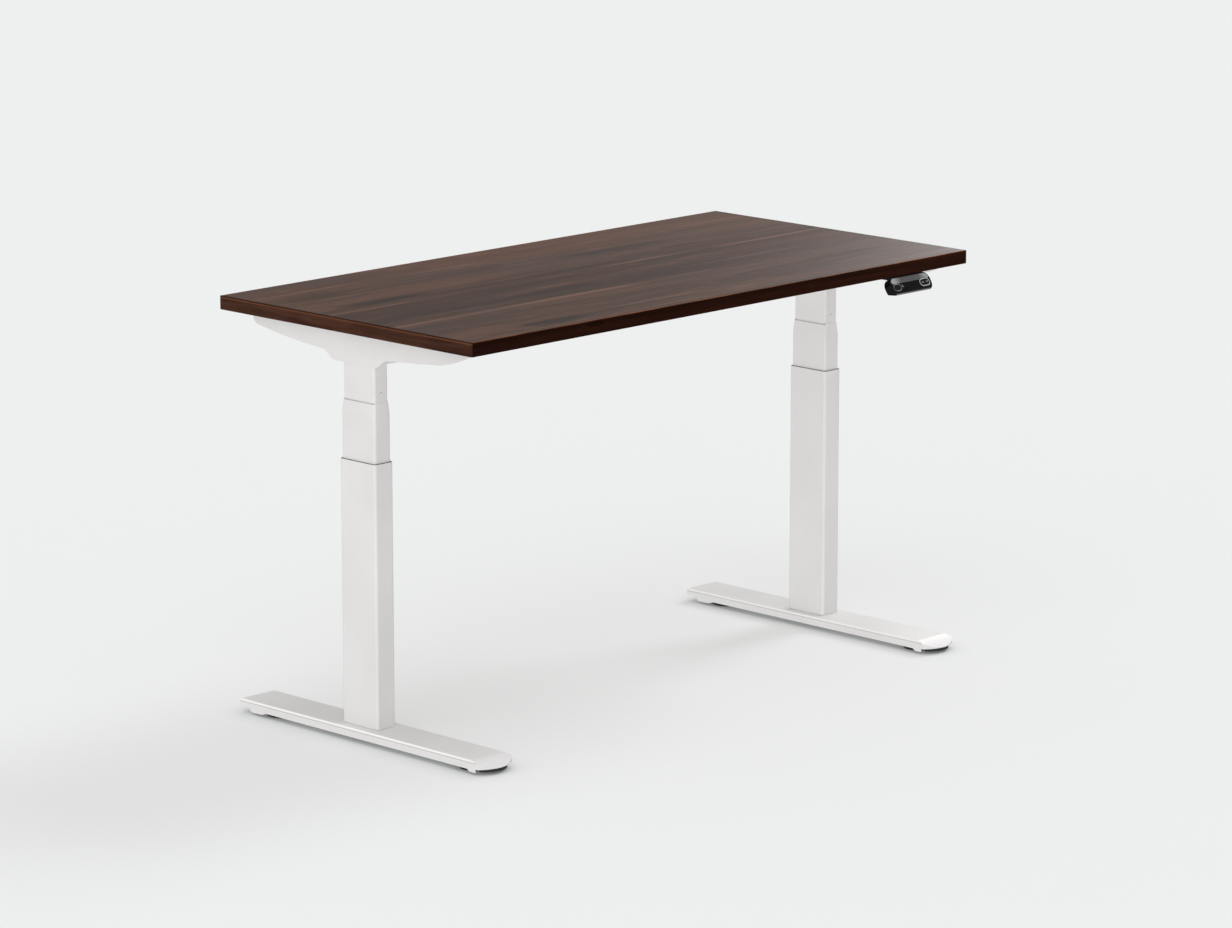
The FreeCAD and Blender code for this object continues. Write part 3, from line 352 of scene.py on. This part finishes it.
def walnut_top():
    """Lacquered walnut boards along X, with paler seams and smoky patches."""
    m = Material("walnut_top")
    x, y, _ = m.axes()
    across = m.minus(y, BOARD_Y)
    grain = Grain(m, x, across)
    colour = grain.colour(m, TOP_PALETTE)

    wander = m.noise(m.vector(m.times(x, SEAM_WAVES), 0.0, SEAM_SLICE))
    seam_y = m.plus(across, m.times(m.minus(wander, 0.5), SEAM_WANDER))
    broken = m.span(grain.streak, *SEAM_BREAKS)
    for centre, half, start, end, strength in STREAKS:
        line = m.ridge(seam_y, centre, half)
        body = m.times(m.span(x, start, start + SEAM_TAPER), m.span(x, end, end - SEAM_TAPER))
        share = m.times(m.times(line, body), m.times(broken, strength))
        colour = m.mix(share, colour, WOOD_SEAM)

    blush = m.span(m.noise(m.stretch(BLUSH_SCALE), detail=3.0, roughness=0.6), *BLUSH_SPAN)
    region = m.span(m.noise(m.stretch(BLUSH_REGION_SCALE), detail=1.0), *BLUSH_REGION_SPAN)
    colour = m.tint(colour, m.times(blush, region), BLUSH_STRENGTH, WOOD_RED)
    colour = m.mix(m.span(across, *BACK_WARMTH), colour, WOOD_RED)
    colour = m.mix(m.span(x, *RIGHT_WARMTH), colour, WOOD_RED)

    ragged = m.noise(m.stretch(PATCH_SCALE), detail=3.0, roughness=0.6)
    for centre_x, centre_y, half_x, half_y, strength in PATCHES:
        dx = m.math("DIVIDE", m.minus(x, centre_x), half_x)
        dy = m.math("DIVIDE", m.minus(across, centre_y), half_y)
        away = m.plus(m.times(dx, dx), m.times(dy, dy))
        away = m.plus(away, m.times(m.minus(ragged, 0.5), PATCH_RAGGEDNESS))
        colour = m.tint(colour, m.span(away, *PATCH_SPAN), strength, WOOD_DARK)

    grey = m.span(m.noise(m.stretch(GREY_SCALE), detail=1.0), *GREY_SPAN)
    colour = m.tint(colour, grey, GREY_STRENGTH, WOOD_GREY)

    for half, value, width, share, tone in (
            (BOARD_HIGH.x - BAND, x, END_RIM_WIDTH, END_RIM_SHARE, RIM_LINE),
            (BOARD_HIGH.y - BOARD_Y - BAND, across, RIM_WIDTH, RIM_SHARE, ARRIS_COLOUR)):
        inside = m.minus(half, m.math("ABSOLUTE", value))
        colour = m.mix(m.span(inside, width, width * RIM_CORE, 0.0, share), colour, tone)

    m.set(Base_Color=colour, Roughness=m.swing(TOP_ROUGHNESS, grain.streak, WOOD_ROUGHNESS_SWING),
          Specular_IOR_Level=TOP_SPECULAR)
    m.bump(grain.relief, *TOP_RELIEF)
    return m.material


# Dark patches on the ends: noise scale along the band and up it, levels, strength.
END_PATCH_SCALE, END_PATCH_SPAN, END_PATCH_STRENGTH = (5.0, 30.0), (0.48, 0.66), 0.65

# Knot in the front. Its fade and its halo are in parts of its half size.
KNOT = (-0.328, 0.719)        # centre in X and Z
KNOT_HALF = (0.026, 0.0055)
KNOT_RINGS = 14.0
KNOT_FADE = (1.0, 0.5)
KNOT_BASE, KNOT_RING_SWING = 0.55, 0.45
HALO_PLACE, HALO_HALF_WIDTH, HALO_STRENGTH = 1.12, 0.22, 0.35

# The front is darker towards its upper edge, and its streaks are lighter towards the right.
FRONT_SHADE_MARGINS, FRONT_SHADE_STRENGTH = (0.008, 0.004), 0.55
LIGHTER_ALONG, LIGHTER_STREAKS, LIGHTER_STRENGTH = (0.10, 0.55), (0.3, 0.6), 0.40

# Orange line on the upper corner of the band, broken along its length and faint on the ends.
ARRIS_SCALE, ARRIS_BREAKS = (9.0, 60.0), (0.35, 0.7)
ARRIS_BASE, ARRIS_SWING, ARRIS_END_LOSS = 0.30, 0.65, 0.85

# Heights of the lines on the band, below its upper corner, in the order in which they fade in.
ARRIS_FADE = (0.0015, 0.0005)
END_LINE_DROP, END_LINE_HALF_WIDTH, END_LINE_STRENGTH = 0.0030, 0.0016, 0.45
END_CORNER_FADE, END_CORNER_STRENGTH = (0.0014, 0.0006), 0.9


def walnut_edge():
    """Dark edge band: grain along all four sides, redder on the ends, a knot in the front."""
    m = Material("walnut_edge")
    x, y, z = m.axes()
    on_end = m.math("GREATER_THAN", m.math("ABSOLUTE", x), BOARD_HIGH.x - SKIN)
    in_front = m.math("LESS_THAN", y, BOARD_LOW.y + SKIN)
    along = m.new("ShaderNodeMix")
    for name, value in (("Factor", on_end), ("A", x), ("B", y)):
        m.feed(along.inputs[name], value)
    along = along.outputs[0]
    grain = Grain(m, along, z)

    def field(scale, *settings):
        place = m.vector(m.times(along, scale[0]), 0.0, m.times(z, scale[1]))
        return m.noise(place, 1.0, *settings)

    patch = m.span(field(END_PATCH_SCALE, 2.0, 0.6), *END_PATCH_SPAN)
    end = m.tint(grain.colour(m, END_PALETTE), patch, END_PATCH_STRENGTH, END_PALETTE[0])
    colour = m.mix(on_end, grain.colour(m, FRONT_PALETTE), end)

    dx = m.math("DIVIDE", m.minus(x, KNOT[0]), KNOT_HALF[0])
    dz = m.math("DIVIDE", m.minus(z, KNOT[1]), KNOT_HALF[1])
    away = m.math("SQRT", m.plus(m.times(dx, dx), m.times(dz, dz)))
    rings = m.times(m.plus(m.math("SINE", m.times(away, KNOT_RINGS)), 1.0), 0.5)
    knot = m.times(m.times(m.span(away, *KNOT_FADE), in_front),
                   m.swing(KNOT_BASE, rings, KNOT_RING_SWING))
    colour = m.mix(knot, colour, FRONT_PALETTE[0])
    halo = m.times(m.ridge(away, HALO_PLACE, HALO_HALF_WIDTH), in_front)
    colour = m.tint(colour, halo, HALO_STRENGTH, FRONT_PALETTE[3])

    low, high = FRONT_SHADE_MARGINS
    upper = m.times(m.span(z, BOARD_LOW.z + low, BOARD_HIGH.z - high), in_front)
    colour = m.tint(colour, upper, FRONT_SHADE_STRENGTH, FRONT_PALETTE[0])
    lighter = m.times(m.span(x, *LIGHTER_ALONG),
                      m.times(in_front, m.span(grain.streak, *LIGHTER_STREAKS)))
    colour = m.tint(colour, lighter, LIGHTER_STRENGTH, FRONT_PALETTE[3])

    def near_corner(fade):
        return m.span(z, BOARD_HIGH.z - fade[0], BOARD_HIGH.z - fade[1])

    warm = m.swing(ARRIS_BASE, m.span(field(ARRIS_SCALE), *ARRIS_BREAKS), ARRIS_SWING)
    share = m.times(warm, m.minus(1.0, m.times(on_end, ARRIS_END_LOSS)))
    colour = m.mix(m.times(near_corner(ARRIS_FADE), share), colour, ARRIS_COLOUR)
    line = m.times(m.ridge(z, BOARD_HIGH.z - END_LINE_DROP, END_LINE_HALF_WIDTH), on_end)
    colour = m.tint(colour, line, END_LINE_STRENGTH, ARRIS_COLOUR)
    corner = m.times(near_corner(END_CORNER_FADE), on_end)
    colour = m.tint(colour, corner, END_CORNER_STRENGTH, RIM_LINE)

    m.set(Base_Color=colour, Roughness=m.swing(EDGE_ROUGHNESS, grain.streak, WOOD_ROUGHNESS_SWING),
          Specular_IOR_Level=EDGE_SPECULAR)
    m.bump(grain.relief, *EDGE_RELIEF)
    return m.material


# ---- metals, plastics and rubber ----
COAT_DARK, COAT_PALE = (0.705, 0.695, 0.687), (0.737, 0.728, 0.721)
COAT_SPECK, SPECK_SPAN = (0.60, 0.59, 0.58), (0.62, 0.80, 0.0, 0.10)
PEEL_SCALE, DRIFT_SCALE, SPECK_SCALE = 900.0, 7.0, 2600.0
DRIFT_SPAN = (0.3, 0.7)
COAT_ROUGHNESS, COAT_ROUGHNESS_SWING = 0.40, 0.12
COAT_SPECULAR = 0.03
COAT_RELIEF = (0.00006, 0.55)

# Painted highlight on rounded folds, found by how far the surface looks up.
FOLD_HIGHLIGHT_UP, FOLD_HIGHLIGHT_HALF_WIDTH, FOLD_HIGHLIGHT_STRENGTH = 0.72, 0.24, 0.8
FOLD_HIGHLIGHT_COLOUR = (0.90, 0.885, 0.875)

# Thin line along the sides of the feet.
FOOT_CREASE_Z, CREASE_HALF_WIDTH, CREASE_STRENGTH = 0.0200, 0.0011, 0.55
CREASE_COLOUR = (0.30, 0.28, 0.27)

# Painted shade: a dark line at the mouth of each middle tube's neck, on its two sides. The left
# neck's mouth is
# NECK_TOP_SHIFT above NECK_TOP_Z, and the right one is as far below it.
NECK_TOP_Z, NECK_TOP_SHIFT = 0.573, 0.008
NECK_UP, NECK_UP_HALF_WIDTH = 0.15, 0.13     # how far the neck's faces look up
NECK_SIDE_SPAN = (0.5, 0.8)                  # how far they look sideways
MOUTH_SHADE_SPAN, MOUTH_SHADE_STRENGTH = (0.0026, 0.0012), 0.80
MOUTH_SHADE_COLOUR = (0.16, 0.15, 0.15)


def powder_coat():
    """Satin white powder coat: fine orange peel, a painted highlight on the folds, a thin dark line
    on the feet, and a line of painted shade at the mouth of each neck.
    """
    m = Material("white_powder_coat")
    peel = m.noise(m.place, PEEL_SCALE)
    drift = m.noise(m.place, DRIFT_SCALE)
    speck = m.noise(m.place, SPECK_SCALE, detail=1.0)
    colour = m.ramp(m.span(drift, *DRIFT_SPAN), (0.0, COAT_DARK), (1.0, COAT_PALE))
    colour = m.mix(m.span(speck, *SPECK_SPAN), colour, COAT_SPECK)

    across, _, up = m.facing()
    # Painted highlight: a brighter tone where the surface looks partly up, as on rounded folds.
    fold_highlight = m.ridge(up, FOLD_HIGHLIGHT_UP, FOLD_HIGHLIGHT_HALF_WIDTH)
    colour = m.tint(colour, fold_highlight, FOLD_HIGHLIGHT_STRENGTH, FOLD_HIGHLIGHT_COLOUR)

    x, _, z = m.axes()
    crease = m.ridge(z, FOOT_CREASE_Z, CREASE_HALF_WIDTH)
    colour = m.tint(colour, crease, CREASE_STRENGTH, CREASE_COLOUR)

    # Painted shade line at each neck's mouth, on the faces that look sideways.
    neck_top = m.minus(NECK_TOP_Z, m.times(m.math("SIGN", x), NECK_TOP_SHIFT))
    mouth_shade = m.times(m.ridge(up, NECK_UP, NECK_UP_HALF_WIDTH),
                    m.span(m.minus(neck_top, z), *MOUTH_SHADE_SPAN))
    mouth_shade = m.times(mouth_shade, m.span(m.math("ABSOLUTE", across), *NECK_SIDE_SPAN))
    colour = m.tint(colour, mouth_shade, MOUTH_SHADE_STRENGTH, MOUTH_SHADE_COLOUR)

    m.set(Base_Color=colour, Roughness=m.swing(COAT_ROUGHNESS, drift, COAT_ROUGHNESS_SWING),
          Specular_IOR_Level=COAT_SPECULAR)
    m.bump(peel, *COAT_RELIEF)
    return m.material


MOULD_TONE_SCALE = 18.0
MOULD_TEXTURE_STRENGTH = 0.6
METAL_CLOUD_SCALE = 45.0
PLASTIC_ROUGHNESS_SWING, METAL_ROUGHNESS_SWING = 0.12, 0.2
METAL_RELIEF_STRENGTH = 0.5


def moulded(name, dark, pale, rough, grain_scale=1400.0, grain_depth=0.00004, **more):
    """Moulded plastic or rubber: a fine texture and a slow change of tone."""
    m = Material(name)
    slow = m.noise(m.place, MOULD_TONE_SCALE)
    fine = m.noise(m.place, grain_scale, roughness=0.55)
    colour = m.mix(m.times(m.plus(slow, fine), 0.5), dark, pale)
    m.set(Base_Color=colour, Roughness=m.swing(rough, slow, PLASTIC_ROUGHNESS_SWING), **more)
    m.bump(fine, grain_depth, MOULD_TEXTURE_STRENGTH)
    return m.material


def metal(name, dark, pale, rough, scale, depth=0.00003):
    """Metal with streaks, drawn out along the axis that has the lowest scale."""
    m = Material(name)
    streak = m.noise(m.stretch(scale), detail=3.0, roughness=0.6)
    cloud = m.noise(m.place, METAL_CLOUD_SCALE)
    colour = m.mix(m.times(m.plus(streak, cloud), 0.5), dark, pale)
    m.set(Base_Color=colour, Metallic=1.0, Roughness=m.swing(rough, streak, METAL_ROUGHNESS_SWING))
    m.bump(streak, depth, METAL_RELIEF_STRENGTH)
    return m.material


SMUDGE_SCALE, RIPPLE_SCALE = 70.0, 160.0
RIPPLE_RELIEF = (0.00004, 0.25)
BLUER = 1.05                  # blue against red and green in the dark tone
SMUDGE_LIFT = (1.9, 1.9, 2.0)
LIP_UP_SPAN = (0.45, 0.20)    # the coat covers faces that look up less than this
LIP_ACROSS_SPAN = (0.55, 0.25)
LIP_ROUGHNESS, LIP_IOR = 0.05, 2.0


def gloss_black(name, level, rough, shine):
    """Polished black plastic, smudged and slightly rippled, glossiest where it turns under."""
    m = Material(name)
    smudge = m.noise(m.place, SMUDGE_SCALE, 3.0, 0.6, 0.8)
    ripple = m.noise(m.place, RIPPLE_SCALE, detail=1.0)
    colour = m.mix(smudge, (level, level, level * BLUER), [level * lift for lift in SMUDGE_LIFT])
    across, _, up = m.facing()
    ahead = m.span(m.math("ABSOLUTE", across), *LIP_ACROSS_SPAN)
    lip = m.times(m.span(up, *LIP_UP_SPAN), ahead)
    m.set(Base_Color=colour, Roughness=m.swing(rough, smudge, PLASTIC_ROUGHNESS_SWING),
          Specular_IOR_Level=shine, Coat_Weight=lip, Coat_Roughness=LIP_ROUGHNESS,
          Coat_IOR=LIP_IOR)
    m.bump(ripple, *RIPPLE_RELIEF)
    return m.material


BRUSH_SCALE = (14.0, 2600.0, 2600.0)
TRIM_DARK, TRIM_PALE = (0.075, 0.075, 0.080), (0.150, 0.150, 0.155)
TRIM_END_REFLECTION = (0.42, 0.42, 0.43)
TRIM_LEFT_REFLECTION_SPAN, TRIM_RIGHT_REFLECTION_SPAN = (0.30, 0.04), (0.72, 0.98)
TRIM_ROUGHNESS = 0.30
TRIM_RELIEF = 0.00003


def brushed_trim():
    """Dark brushed metal, with a painted reflection that makes it paler towards both of its ends.
    """
    m = Material("brushed_trim")
    x, _, _ = m.axes()
    low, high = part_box("handset_strip")
    brush = m.noise(m.stretch(BRUSH_SCALE), detail=3.0, roughness=0.6)
    share = m.span(x, low.x, high.x, smooth=False)
    # Painted reflection: paler towards both ends of the strip.
    end_reflection = m.plus(m.span(share, *TRIM_LEFT_REFLECTION_SPAN), m.span(share, *TRIM_RIGHT_REFLECTION_SPAN))
    colour = m.mix(end_reflection, m.mix(brush, TRIM_DARK, TRIM_PALE), TRIM_END_REFLECTION)
    m.set(Base_Color=colour, Metallic=1.0,
          Roughness=m.swing(TRIM_ROUGHNESS, brush, METAL_ROUGHNESS_SWING))
    m.bump(brush, TRIM_RELIEF, METAL_RELIEF_STRENGTH)
    return m.material


# Moulded pieces: dark and pale tone, roughness, and the texture's scale and depth if it is coarse.
MOULDED = {
    "black_rubber": ((0.010, 0.010, 0.010), (0.028, 0.028, 0.028), 0.68),
    "black_glide": ((0.008, 0.008, 0.009), (0.022, 0.022, 0.023), 0.50),
    "black_bush": ((0.012, 0.012, 0.012), (0.030, 0.030, 0.030), 0.55),
    "white_nut_plastic": ((0.66, 0.64, 0.58), (0.76, 0.74, 0.68), 0.42),
    "motor_steel": ((0.020, 0.020, 0.022), (0.040, 0.040, 0.043), 0.34),
    "black_plastic": ((0.014, 0.014, 0.015), (0.030, 0.030, 0.032), 0.52, 900.0, 0.00010),
    "inlet_plastic": ((0.010, 0.010, 0.010), (0.022, 0.022, 0.022), 0.45),
    "black_cable": ((0.012, 0.012, 0.012), (0.026, 0.026, 0.026), 0.48),
}

# Metals: dark and pale tone, roughness, streak scale by axis, and depth where it isn't the usual.
METALS = {
    "plated_steel": ((0.42, 0.42, 0.41), (0.66, 0.66, 0.64), 0.26, (300.0, 300.0, 60.0)),
    "cast_aluminium": ((0.46, 0.47, 0.48), (0.62, 0.63, 0.64), 0.42,
                       (900.0, 900.0, 900.0), 0.00012),
    "bright_ring": ((0.62, 0.62, 0.63), (0.86, 0.86, 0.87), 0.14,
                    (500.0, 500.0, 500.0), 0.00001),
}

# Polished black pieces: level, roughness, specular level.
GLOSSES = {
    "handset_gloss": (0.0022, 0.12, 0.09),
    "display_window": (0.0012, 0.06, 0.12),
    "button_gloss": (0.0040, 0.16, 0.13),
}

MATERIALS = {
    "walnut_top": walnut_top(),
    "walnut_edge": walnut_edge(),
    "white_powder_coat": powder_coat(),
    "white_plastic": moulded("white_plastic", (0.690, 0.680, 0.680), (0.745, 0.735, 0.735), 0.46,
                             Specular_IOR_Level=0.08),
    "brushed_trim": brushed_trim(),
}
for make, table in ((moulded, MOULDED), (metal, METALS), (gloss_black, GLOSSES)):
    for name, settings in table.items():
        MATERIALS[name] = make(name, *settings)

for part in frame["record"]["subparts"]:
    for slot in nodes[part["node"]].material_slots:
        slot.material = MATERIALS[part["material_slot"]]


# ---- printed marks on the handset ----
PRINT_SUNK, PRINT_PROUD = 0.05 * MM, 0.07 * MM
ARROW_REACH, ARROW_WIDTH = 2.1 * MM, 0.9 * MM
OUTLINE_MARGIN, OUTLINE_WIDTH, OUTLINE_STEPS = 1.2 * MM, 0.7 * MM, 6
SIDE_MARK_GAP, SIDE_MARK_WIDTH = 3.2 * MM, 0.8 * MM
SIDE_MARK = ((1.6, 1.9), (-1.2, 0.2), (2.2, -2.2))     # its corners from its centre, in mm


def to_face(u, v, w):
    """Row-frame point of a place on the handset's face: right, up the face, and outward."""
    cos, sin = math.cos(FACE_TURN), math.sin(FACE_TURN)
    return FACE_ORIGIN + Vector((u, v * cos - w * sin, v * sin + w * cos))


def face_box(node):
    """Lowest and highest corner of a CAD node in the face's own directions."""
    cos, sin = math.cos(FACE_TURN), math.sin(FACE_TURN)
    points = np.array([v.co for v in nodes[node].data.vertices], float) - np.array(FACE_ORIGIN)
    u = points[:, 0]
    v = points[:, 1] * cos + points[:, 2] * sin
    w = -points[:, 1] * sin + points[:, 2] * cos
    return (u.min(), v.min(), w.min()), (u.max(), v.max(), w.max())


def printed_mark(name, strokes, width, surface, body):
    """Thin raised print: straight strokes on the face, each a pair of its ends in u and v."""
    mesh = bpy.data.meshes.new(name)
    build = bmesh.new()
    low, high = surface - PRINT_SUNK, surface + PRINT_PROUD
    for a, b in strokes:
        a, b = Vector(a), Vector(b)
        along = (b - a).normalized() * width / 2
        side = Vector((-along.y, along.x))
        corners = [a - along + side, b + along + side, b + along - side, a - along - side]
        ring = [[build.verts.new(to_face(c.x, c.y, w)) for c in corners] for w in (low, high)]
        build.faces.new(ring[0])
        build.faces.new(ring[1][::-1])
        for k in range(4):
            n = (k + 1) % 4
            build.faces.new((ring[0][n], ring[0][k], ring[1][k], ring[1][n]))
    bmesh.ops.recalc_face_normals(build, faces=build.faces)
    build.to_mesh(mesh)
    build.free()
    mark = bpy.data.objects.new(name, mesh)
    bpy.context.scene.collection.objects.link(mark)
    mesh.materials.append(MATERIALS["bright_ring"])
    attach(mark, body)


def chevron(centre, reach, direction):
    """Two strokes of an arrow head that points up (1) or down (-1) the face."""
    u, v = centre
    rise = direction * reach * 0.5
    tip = (u, v + rise)
    return [((u - reach, v - rise), tip), (tip, (u + reach, v - rise))]


def rounded_outline(low, high, margin, steps):
    """Closed outline, with half-round ends, that stays margin outside a box in u and v."""
    radius = (high[1] - low[1]) / 2 + margin
    middle = (low[1] + high[1]) / 2
    right, left = high[0] + margin - radius, low[0] - margin + radius
    points = []
    for centre, start in ((right, -math.pi / 2), (left, math.pi / 2)):
        for k in range(steps + 1):
            turn = start + math.pi * k / steps
            points.append((centre + radius * math.cos(turn), middle + radius * math.sin(turn)))
    return list(zip(points, points[1:] + points[:1]))


for side, direction in (("up", 1), ("down", -1)):
    low, high = face_box(f"handset_{side}_button")
    centre = ((low[0] + high[0]) / 2, (low[1] + high[1]) / 2)
    strokes = chevron(centre, ARROW_REACH, direction)
    printed_mark(f"{side}_arrow_print", strokes, ARROW_WIDTH, high[2], f"{side}_button")

low, high = face_box("handset_memory_button")
outline = rounded_outline(low, high, OUTLINE_MARGIN, OUTLINE_STEPS)
printed_mark("memory_key_print", outline, OUTLINE_WIDTH, 0.0, "desk")

low, high = face_box("handset_display")
mark_u, mark_v = low[0] - SIDE_MARK_GAP, (low[1] + high[1]) / 2
corners = [(mark_u + u * MM, mark_v + v * MM) for u, v in SIDE_MARK]
printed_mark("display_side_print", list(zip(corners, corners[1:])), SIDE_MARK_WIDTH, 0.0, "desk")


# ---- floor, light and camera ----
def make_floor():
    """Plain floor: one large triangle, whose glow fades close to what stands on it."""
    mesh = bpy.data.meshes.new("floor")
    turns = [QUARTER_TURN + k * math.radians(120) for k in range(3)]
    corners = [(FLOOR_REACH * math.cos(turn), FLOOR_REACH * math.sin(turn), 0.0) for turn in turns]
    mesh.from_pydata(corners, [], [(0, 1, 2)])
    floor = bpy.data.objects.new("floor", mesh)
    bpy.context.scene.collection.objects.link(floor)
    floor.location.z = -FLOOR_DROP
    material = bpy.data.materials.new("floor_paint")
    material.use_nodes = True
    tree = material.node_tree
    tree.nodes.clear()
    output = tree.nodes.new("ShaderNodeOutputMaterial")
    matt = tree.nodes.new("ShaderNodeBsdfDiffuse")
    matt.inputs["Color"].default_value = (*FLOOR_COLOUR, 1.0)
    contact = tree.nodes.new("ShaderNodeAmbientOcclusion")
    contact.inputs["Color"].default_value = (*FLOOR_GLOW, 1.0)
    contact.inputs["Distance"].default_value = CONTACT_REACH
    glow = tree.nodes.new("ShaderNodeEmission")
    tree.links.new(contact.outputs["Color"], glow.inputs["Color"])
    both = tree.nodes.new("ShaderNodeAddShader")
    tree.links.new(matt.outputs[0], both.inputs[0])
    tree.links.new(glow.outputs[0], both.inputs[1])
    tree.links.new(both.outputs[0], output.inputs["Surface"])
    mesh.materials.append(material)


def make_sky():
    """Even studio surround, and a plain backdrop beyond the floor."""
    world = bpy.data.worlds.new("studio")
    bpy.context.scene.world = world
    world.use_nodes = True
    tree = world.node_tree
    tree.nodes.clear()
    light = tree.nodes.new("ShaderNodeBackground")
    light.inputs["Strength"].default_value = SKY_LEVEL
    backdrop = tree.nodes.new("ShaderNodeBackground")
    backdrop.inputs["Color"].default_value = (*BACKDROP_COLOUR, 1.0)
    seen = tree.nodes.new("ShaderNodeLightPath").outputs["Is Camera Ray"]
    either = tree.nodes.new("ShaderNodeMixShader")
    tree.links.new(seen, either.inputs[0])
    tree.links.new(light.outputs[0], either.inputs[1])
    tree.links.new(backdrop.outputs[0], either.inputs[2])
    output = tree.nodes.new("ShaderNodeOutputWorld")
    tree.links.new(either.outputs[0], output.inputs["Surface"])


def make_key_light():
    """Large soft lamp from the right."""
    lamp = bpy.data.lights.new("key", "SUN")
    lamp.energy = KEY_STRENGTH
    lamp.angle = KEY_SPREAD
    key = bpy.data.objects.new("key", lamp)
    key.rotation_euler = (0.0, KEY_TILT, KEY_TURN - QUARTER_TURN)
    bpy.context.scene.collection.objects.link(key)


def make_fill_light():
    """Broad fill from the front left that casts no shadow."""
    lamp = bpy.data.lights.new("fill", "SUN")
    lamp.energy = FILL_STRENGTH
    lamp.angle = FILL_SPREAD
    lamp.use_shadow = False
    fill = bpy.data.objects.new("fill", lamp)
    fill.rotation_euler = (-Vector(FILL_FROM)).to_track_quat("-Z", "Y").to_euler()
    fill.visible_glossy = False
    bpy.context.scene.collection.objects.link(fill)


def make_sheen_card():
    """Panel behind the right end that only shows in reflections, for the sheen on the board."""
    lamp = bpy.data.lights.new("sheen_card", "AREA")
    lamp.shape = "RECTANGLE"
    lamp.size, lamp.size_y = CARD_SIZE
    lamp.energy = CARD_POWER
    card = bpy.data.objects.new("sheen_card", lamp)
    card.location = CARD_PLACE
    aim = Vector(CARD_AIM) - Vector(CARD_PLACE)
    card.rotation_euler = aim.to_track_quat("-Z", "Y").to_euler()
    card.visible_diffuse = False
    card.visible_camera = False
    bpy.context.scene.collection.objects.link(card)


def make_camera():
    """Camera of the photograph, solved from the lines of the desk."""
    film = bpy.data.cameras.new("camera")
    film.lens = CAMERA_LENS
    film.sensor_width = CAMERA_FILM
    film.clip_end = CAMERA_CLIP_END
    camera = bpy.data.objects.new("camera", film)
    camera.location = CAMERA_PLACE
    camera.rotation_euler = (CAMERA_PITCH, 0.0, CAMERA_HEADING)
    bpy.context.scene.collection.objects.link(camera)
    bpy.context.scene.camera = camera


make_floor()
make_sky()
make_key_light()
make_fill_light()
make_sheen_card()
make_camera()
bpy.context.scene.view_settings.view_transform = "Standard"
